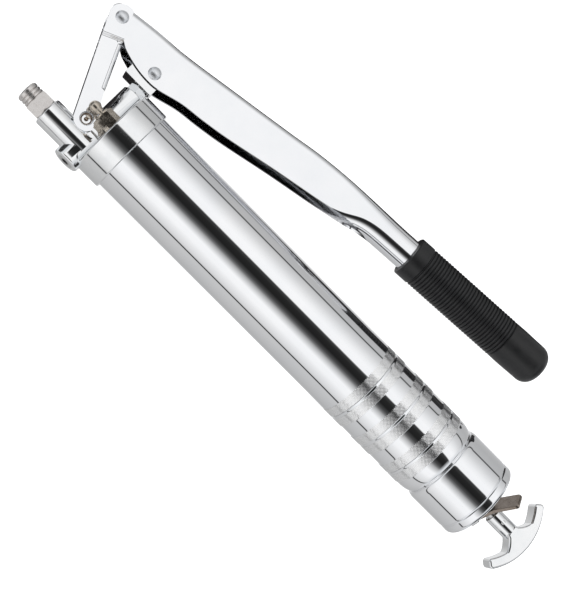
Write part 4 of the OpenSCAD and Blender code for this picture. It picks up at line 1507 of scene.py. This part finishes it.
@dataclass
class Springs(Assembly):
    """Coil springs, remade from the CAD coils with a smooth finish.

    Attributes:
        rows: Joint, axis, travel in millimetres and which end is fixed, by CAD node.
    """

    rows: dict[str, tuple[str, Axis, float, str]] = field(default_factory=lambda: {
        "follower_spring": ("rod_pull", Axis.X, 230.0, "high"),
        "latch_spring": ("latch_tilt", Axis.X, 1.9, "low"),
        "filler_spring": ("filler_press", Axis.X, 1.4, "high"),
        "coupler_spring": ("jaw_travel", Axis.X, 1.0, "high"),
        "check_spring": ("check_lift", Axis.Y, 1.5, "low"),
    })

    def build(self) -> None:
        """Builds the springs as welded, smooth-shaded copies of the CAD coils."""
        for node, (joint, axis, travel, fixed) in self.rows.items():
            coil = bmesh.new()
            coil.from_mesh(frame["nodes"][node].data)
            bmesh.ops.remove_doubles(coil, verts=coil.verts, dist=1e-6)
            bmesh.ops.recalc_face_normals(coil, faces=coil.faces)
            mesh = bpy.data.meshes.new(node + "_coil")
            coil.to_mesh(mesh)
            coil.free()
            mesh.shade_smooth()
            obj = self.place(linked(node + "_coil", mesh), SPRING, node)
            low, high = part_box(node)
            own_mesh(obj)


# ---- Studio ----


@dataclass
class Studio:
    """Floor, light and camera.

    Attributes:
        tilt: Lean of the view from straight above, toward -Y, in degrees.
        bank: Lean of the view along the barrel, in degrees.
        spin: Turn of the view about its own axis, in degrees.
        distance: Distance of the camera from the point that it looks at, in millimetres.
        target: The point that it looks at, in millimetres.
        lens: Focal length for a 36 mm sensor.
        tent: Brightness by angle from the middle of the card over the tool, in degrees.
        flags: Lowest and highest corners of the dark cards on the floor, by name.
        pale: Colour of the tent's ends.
        ends: Where the tent turns pale, as the least and full share of a direction along X.
        dark: Brightness of the dark slits in the ends.
        slit: Heights in the tent where a slit starts and where it is full.
        slit_reach: Where the slits start and are full, as shares of a direction along X.
    """

    tilt: float = 15.0
    bank: float = 6.8
    spin: float = 45.21
    distance: float = 866.0
    target: tuple[float, float, float] = (127.9, 4.0, 0.0)
    lens: float = 85.14
    tent: tuple[Point, ...] = (
        (-180.0, 0.66), (-165.0, 0.66), (-150.0, 0.45), (-92.0, 0.59), (-85.4, 0.60), (-84.6, 0.03),
        (-81.4, 0.03), (-80.6, 0.66), (-70.0, 0.78), (-60.0, 0.87), (-50.0, 0.98), (-35.0, 1.0),
        (-20.0, 0.46), (-14.0, 0.17), (-9.0, 0.07), (0.0, 0.015), (12.0, 0.02), (21.0, 0.05),
        (23.0, 0.98), (40.0, 1.0), (50.0, 0.93), (60.0, 0.82), (70.0, 0.70), (86.8, 0.56),
        (87.6, 0.03), (91.0, 0.03), (91.8, 0.50), (120.0, 0.46), (150.0, 0.51), (162.0, 0.80),
        (180.0, 0.80),
    )
    flags: dict[str, tuple[Point, Point]] = field(default_factory=lambda: {
        "side_flag": ((-40.0, 78.0), (285.0, 235.0)),
        "head_flag": ((-82.0, 8.0), (-18.0, 100.0)),
    })
    pale: tuple[float, ...] = (0.74, 0.76, 0.78, 1.0)
    ends: Point = (0.60, 0.82)
    dark: float = 0.03
    slit: Point = (0.34, 0.22)
    slit_reach: Point = (0.80, 0.90)

    def turn(self) -> Matrix:
        """Finds the camera's turn.

        Returns:
            The turn in the row frame.
        """
        spin, bank, tilt = (math.radians(a) for a in (-self.spin, self.bank, -self.tilt))
        back = Matrix.Rotation(spin, 3, "Z") @ Matrix.Rotation(bank, 3, "Y")
        return (back @ Matrix.Rotation(tilt, 3, "X")).transposed()

    def build_camera(self) -> None:
        """Places the camera."""
        data = bpy.data.cameras.new("camera")
        data.lens = self.lens
        data.sensor_width = 36.0
        data.clip_start, data.clip_end = 0.02, 20.0
        camera = linked("camera", data)
        turn = self.turn()
        spot = (Vector(self.target) + turn @ Vector((0, 0, self.distance))) * MM
        camera.matrix_world = Matrix.Translation(spot) @ turn.to_4x4()
        bpy.context.scene.camera = camera

    def build_world(self) -> None:
        """Makes the light tent: bright above, grey below, with a long dark card over the tool."""
        world = bpy.data.worlds.new("light_tent")
        bpy.context.scene.world = world
        world.use_nodes = True
        g = Graph(world.node_tree)
        way = g.node("ShaderNodeTexCoord", {}).outputs["Generated"]
        along = g.node("ShaderNodeSeparateXYZ", {0: way}).outputs[0]
        tilt = math.radians(self.tilt)
        over, aside = -math.sin(tilt), math.cos(tilt)
        toward = g.vector_maths("DOT_PRODUCT", way, (0.0, over, aside), "Value")
        beside = g.vector_maths("DOT_PRODUCT", way, (0.0, aside, -over), "Value")
        share = g.spread(g.maths("ARCTAN2", beside, toward), -math.pi, math.pi)
        ramp = g.node("ShaderNodeValToRGB", {0: share})
        self.fill_ramp(ramp.color_ramp)
        end, level = g.maths("ABSOLUTE", along), g.maths("ABSOLUTE", toward)
        pale = g.mix(g.spread(end, *self.ends), ramp.outputs[0], self.pale)
        slits = g.maths("MULTIPLY", g.spread(level, *self.slit), g.spread(end, *self.slit_reach))
        colour = g.mix(slits, pale, (self.dark, self.dark, self.dark, 1.0))
        seen = g.node("ShaderNodeLightPath", {}).outputs["Is Camera Ray"]
        shown = g.mix(seen, colour, (1.0, 1.0, 1.0, 1.0))
        back = g.tree.nodes["Background"].inputs
        g.tree.links.new(shown, back["Color"])
        back["Strength"].default_value = 1.0

    def fill_ramp(self, ramp: bpy.types.ColorRamp) -> None:
        """Sets the tent's brightness all the way round.

        Args:
            ramp: The ramp to fill, from -180 to 180 degrees.
        """
        ramp.interpolation = "LINEAR"
        while len(ramp.elements) > 1:
            ramp.elements.remove(ramp.elements[-1])
        for i, (angle, value) in enumerate(self.tent):
            place = (angle + 180.0) / 360.0
            item = ramp.elements.new(place) if i else ramp.elements[0]
            item.position = place
            item.color = (value * 0.99, value * 0.995, value, 1.0)

    def lay(self, name: str, low: Point, high: Point, lift: float, looks: dict[str, object]) -> Object:
        """Lays a flat card under the tool.

        Args:
            name: The card's name.
            low: Its lowest corner, in millimetres.
            high: Its highest corner, in millimetres.
            lift: Its height above the tool's lowest point, in metres.
            looks: Inputs of its shader by name.

        Returns:
            The card.
        """
        mesh = bpy.data.meshes.new(name)
        (x0, y0), (x1, y1), z = low, high, CAD_BOUNDS[0][2] + lift
        rim = [(x * MM, y * MM, z) for x, y in ((x0, y0), (x1, y0), (x1, y1), (x0, y1))]
        mesh.from_pydata(rim, [], [(0, 1, 2, 3)])
        material = bpy.data.materials.new(name)
        material.use_nodes = True
        shader = material.node_tree.nodes["Principled BSDF"].inputs
        for key, value in {"Roughness": 0.9, **looks}.items():
            shader[key].default_value = value
        mesh.materials.append(material)
        card = linked(name, mesh)
        return card

    def build_floor(self) -> None:
        """Lays the pale floor, and on it the dark cards that show only in the chrome."""
        white, half = (1.0, 1.0, 1.0, 1.0), 3000.0
        glow = {"Base Color": (0.97, 0.97, 0.97, 1.0), "Emission Color": white, "Emission Strength": 0.85}
        self.lay("floor", (-half, -half), (half, half), 0.0, glow).visible_glossy = False
        for name, (low, high) in self.flags.items():
            card = self.lay(name, low, high, 0.0004, {"Base Color": (0.05, 0.045, 0.045, 1.0)})
            card.visible_camera = False
            card.visible_diffuse = False
            card.visible_shadow = False

    def build(self) -> None:
        """Builds the studio."""
        bpy.context.scene.view_settings.view_transform = "Standard"
        self.build_world()
        self.build_floor()
        self.build_camera()


def main() -> None:
    """Builds the tool and its studio."""
    Studio().build()
    for assembly in (InnerParts(), Barrel(), Head(), Coupler(), Linkage(), RodGroup(), Springs()):
        LOG.info("building %s", type(assembly).__name__)
        assembly.build()


if __name__ == "__main__":
    main()
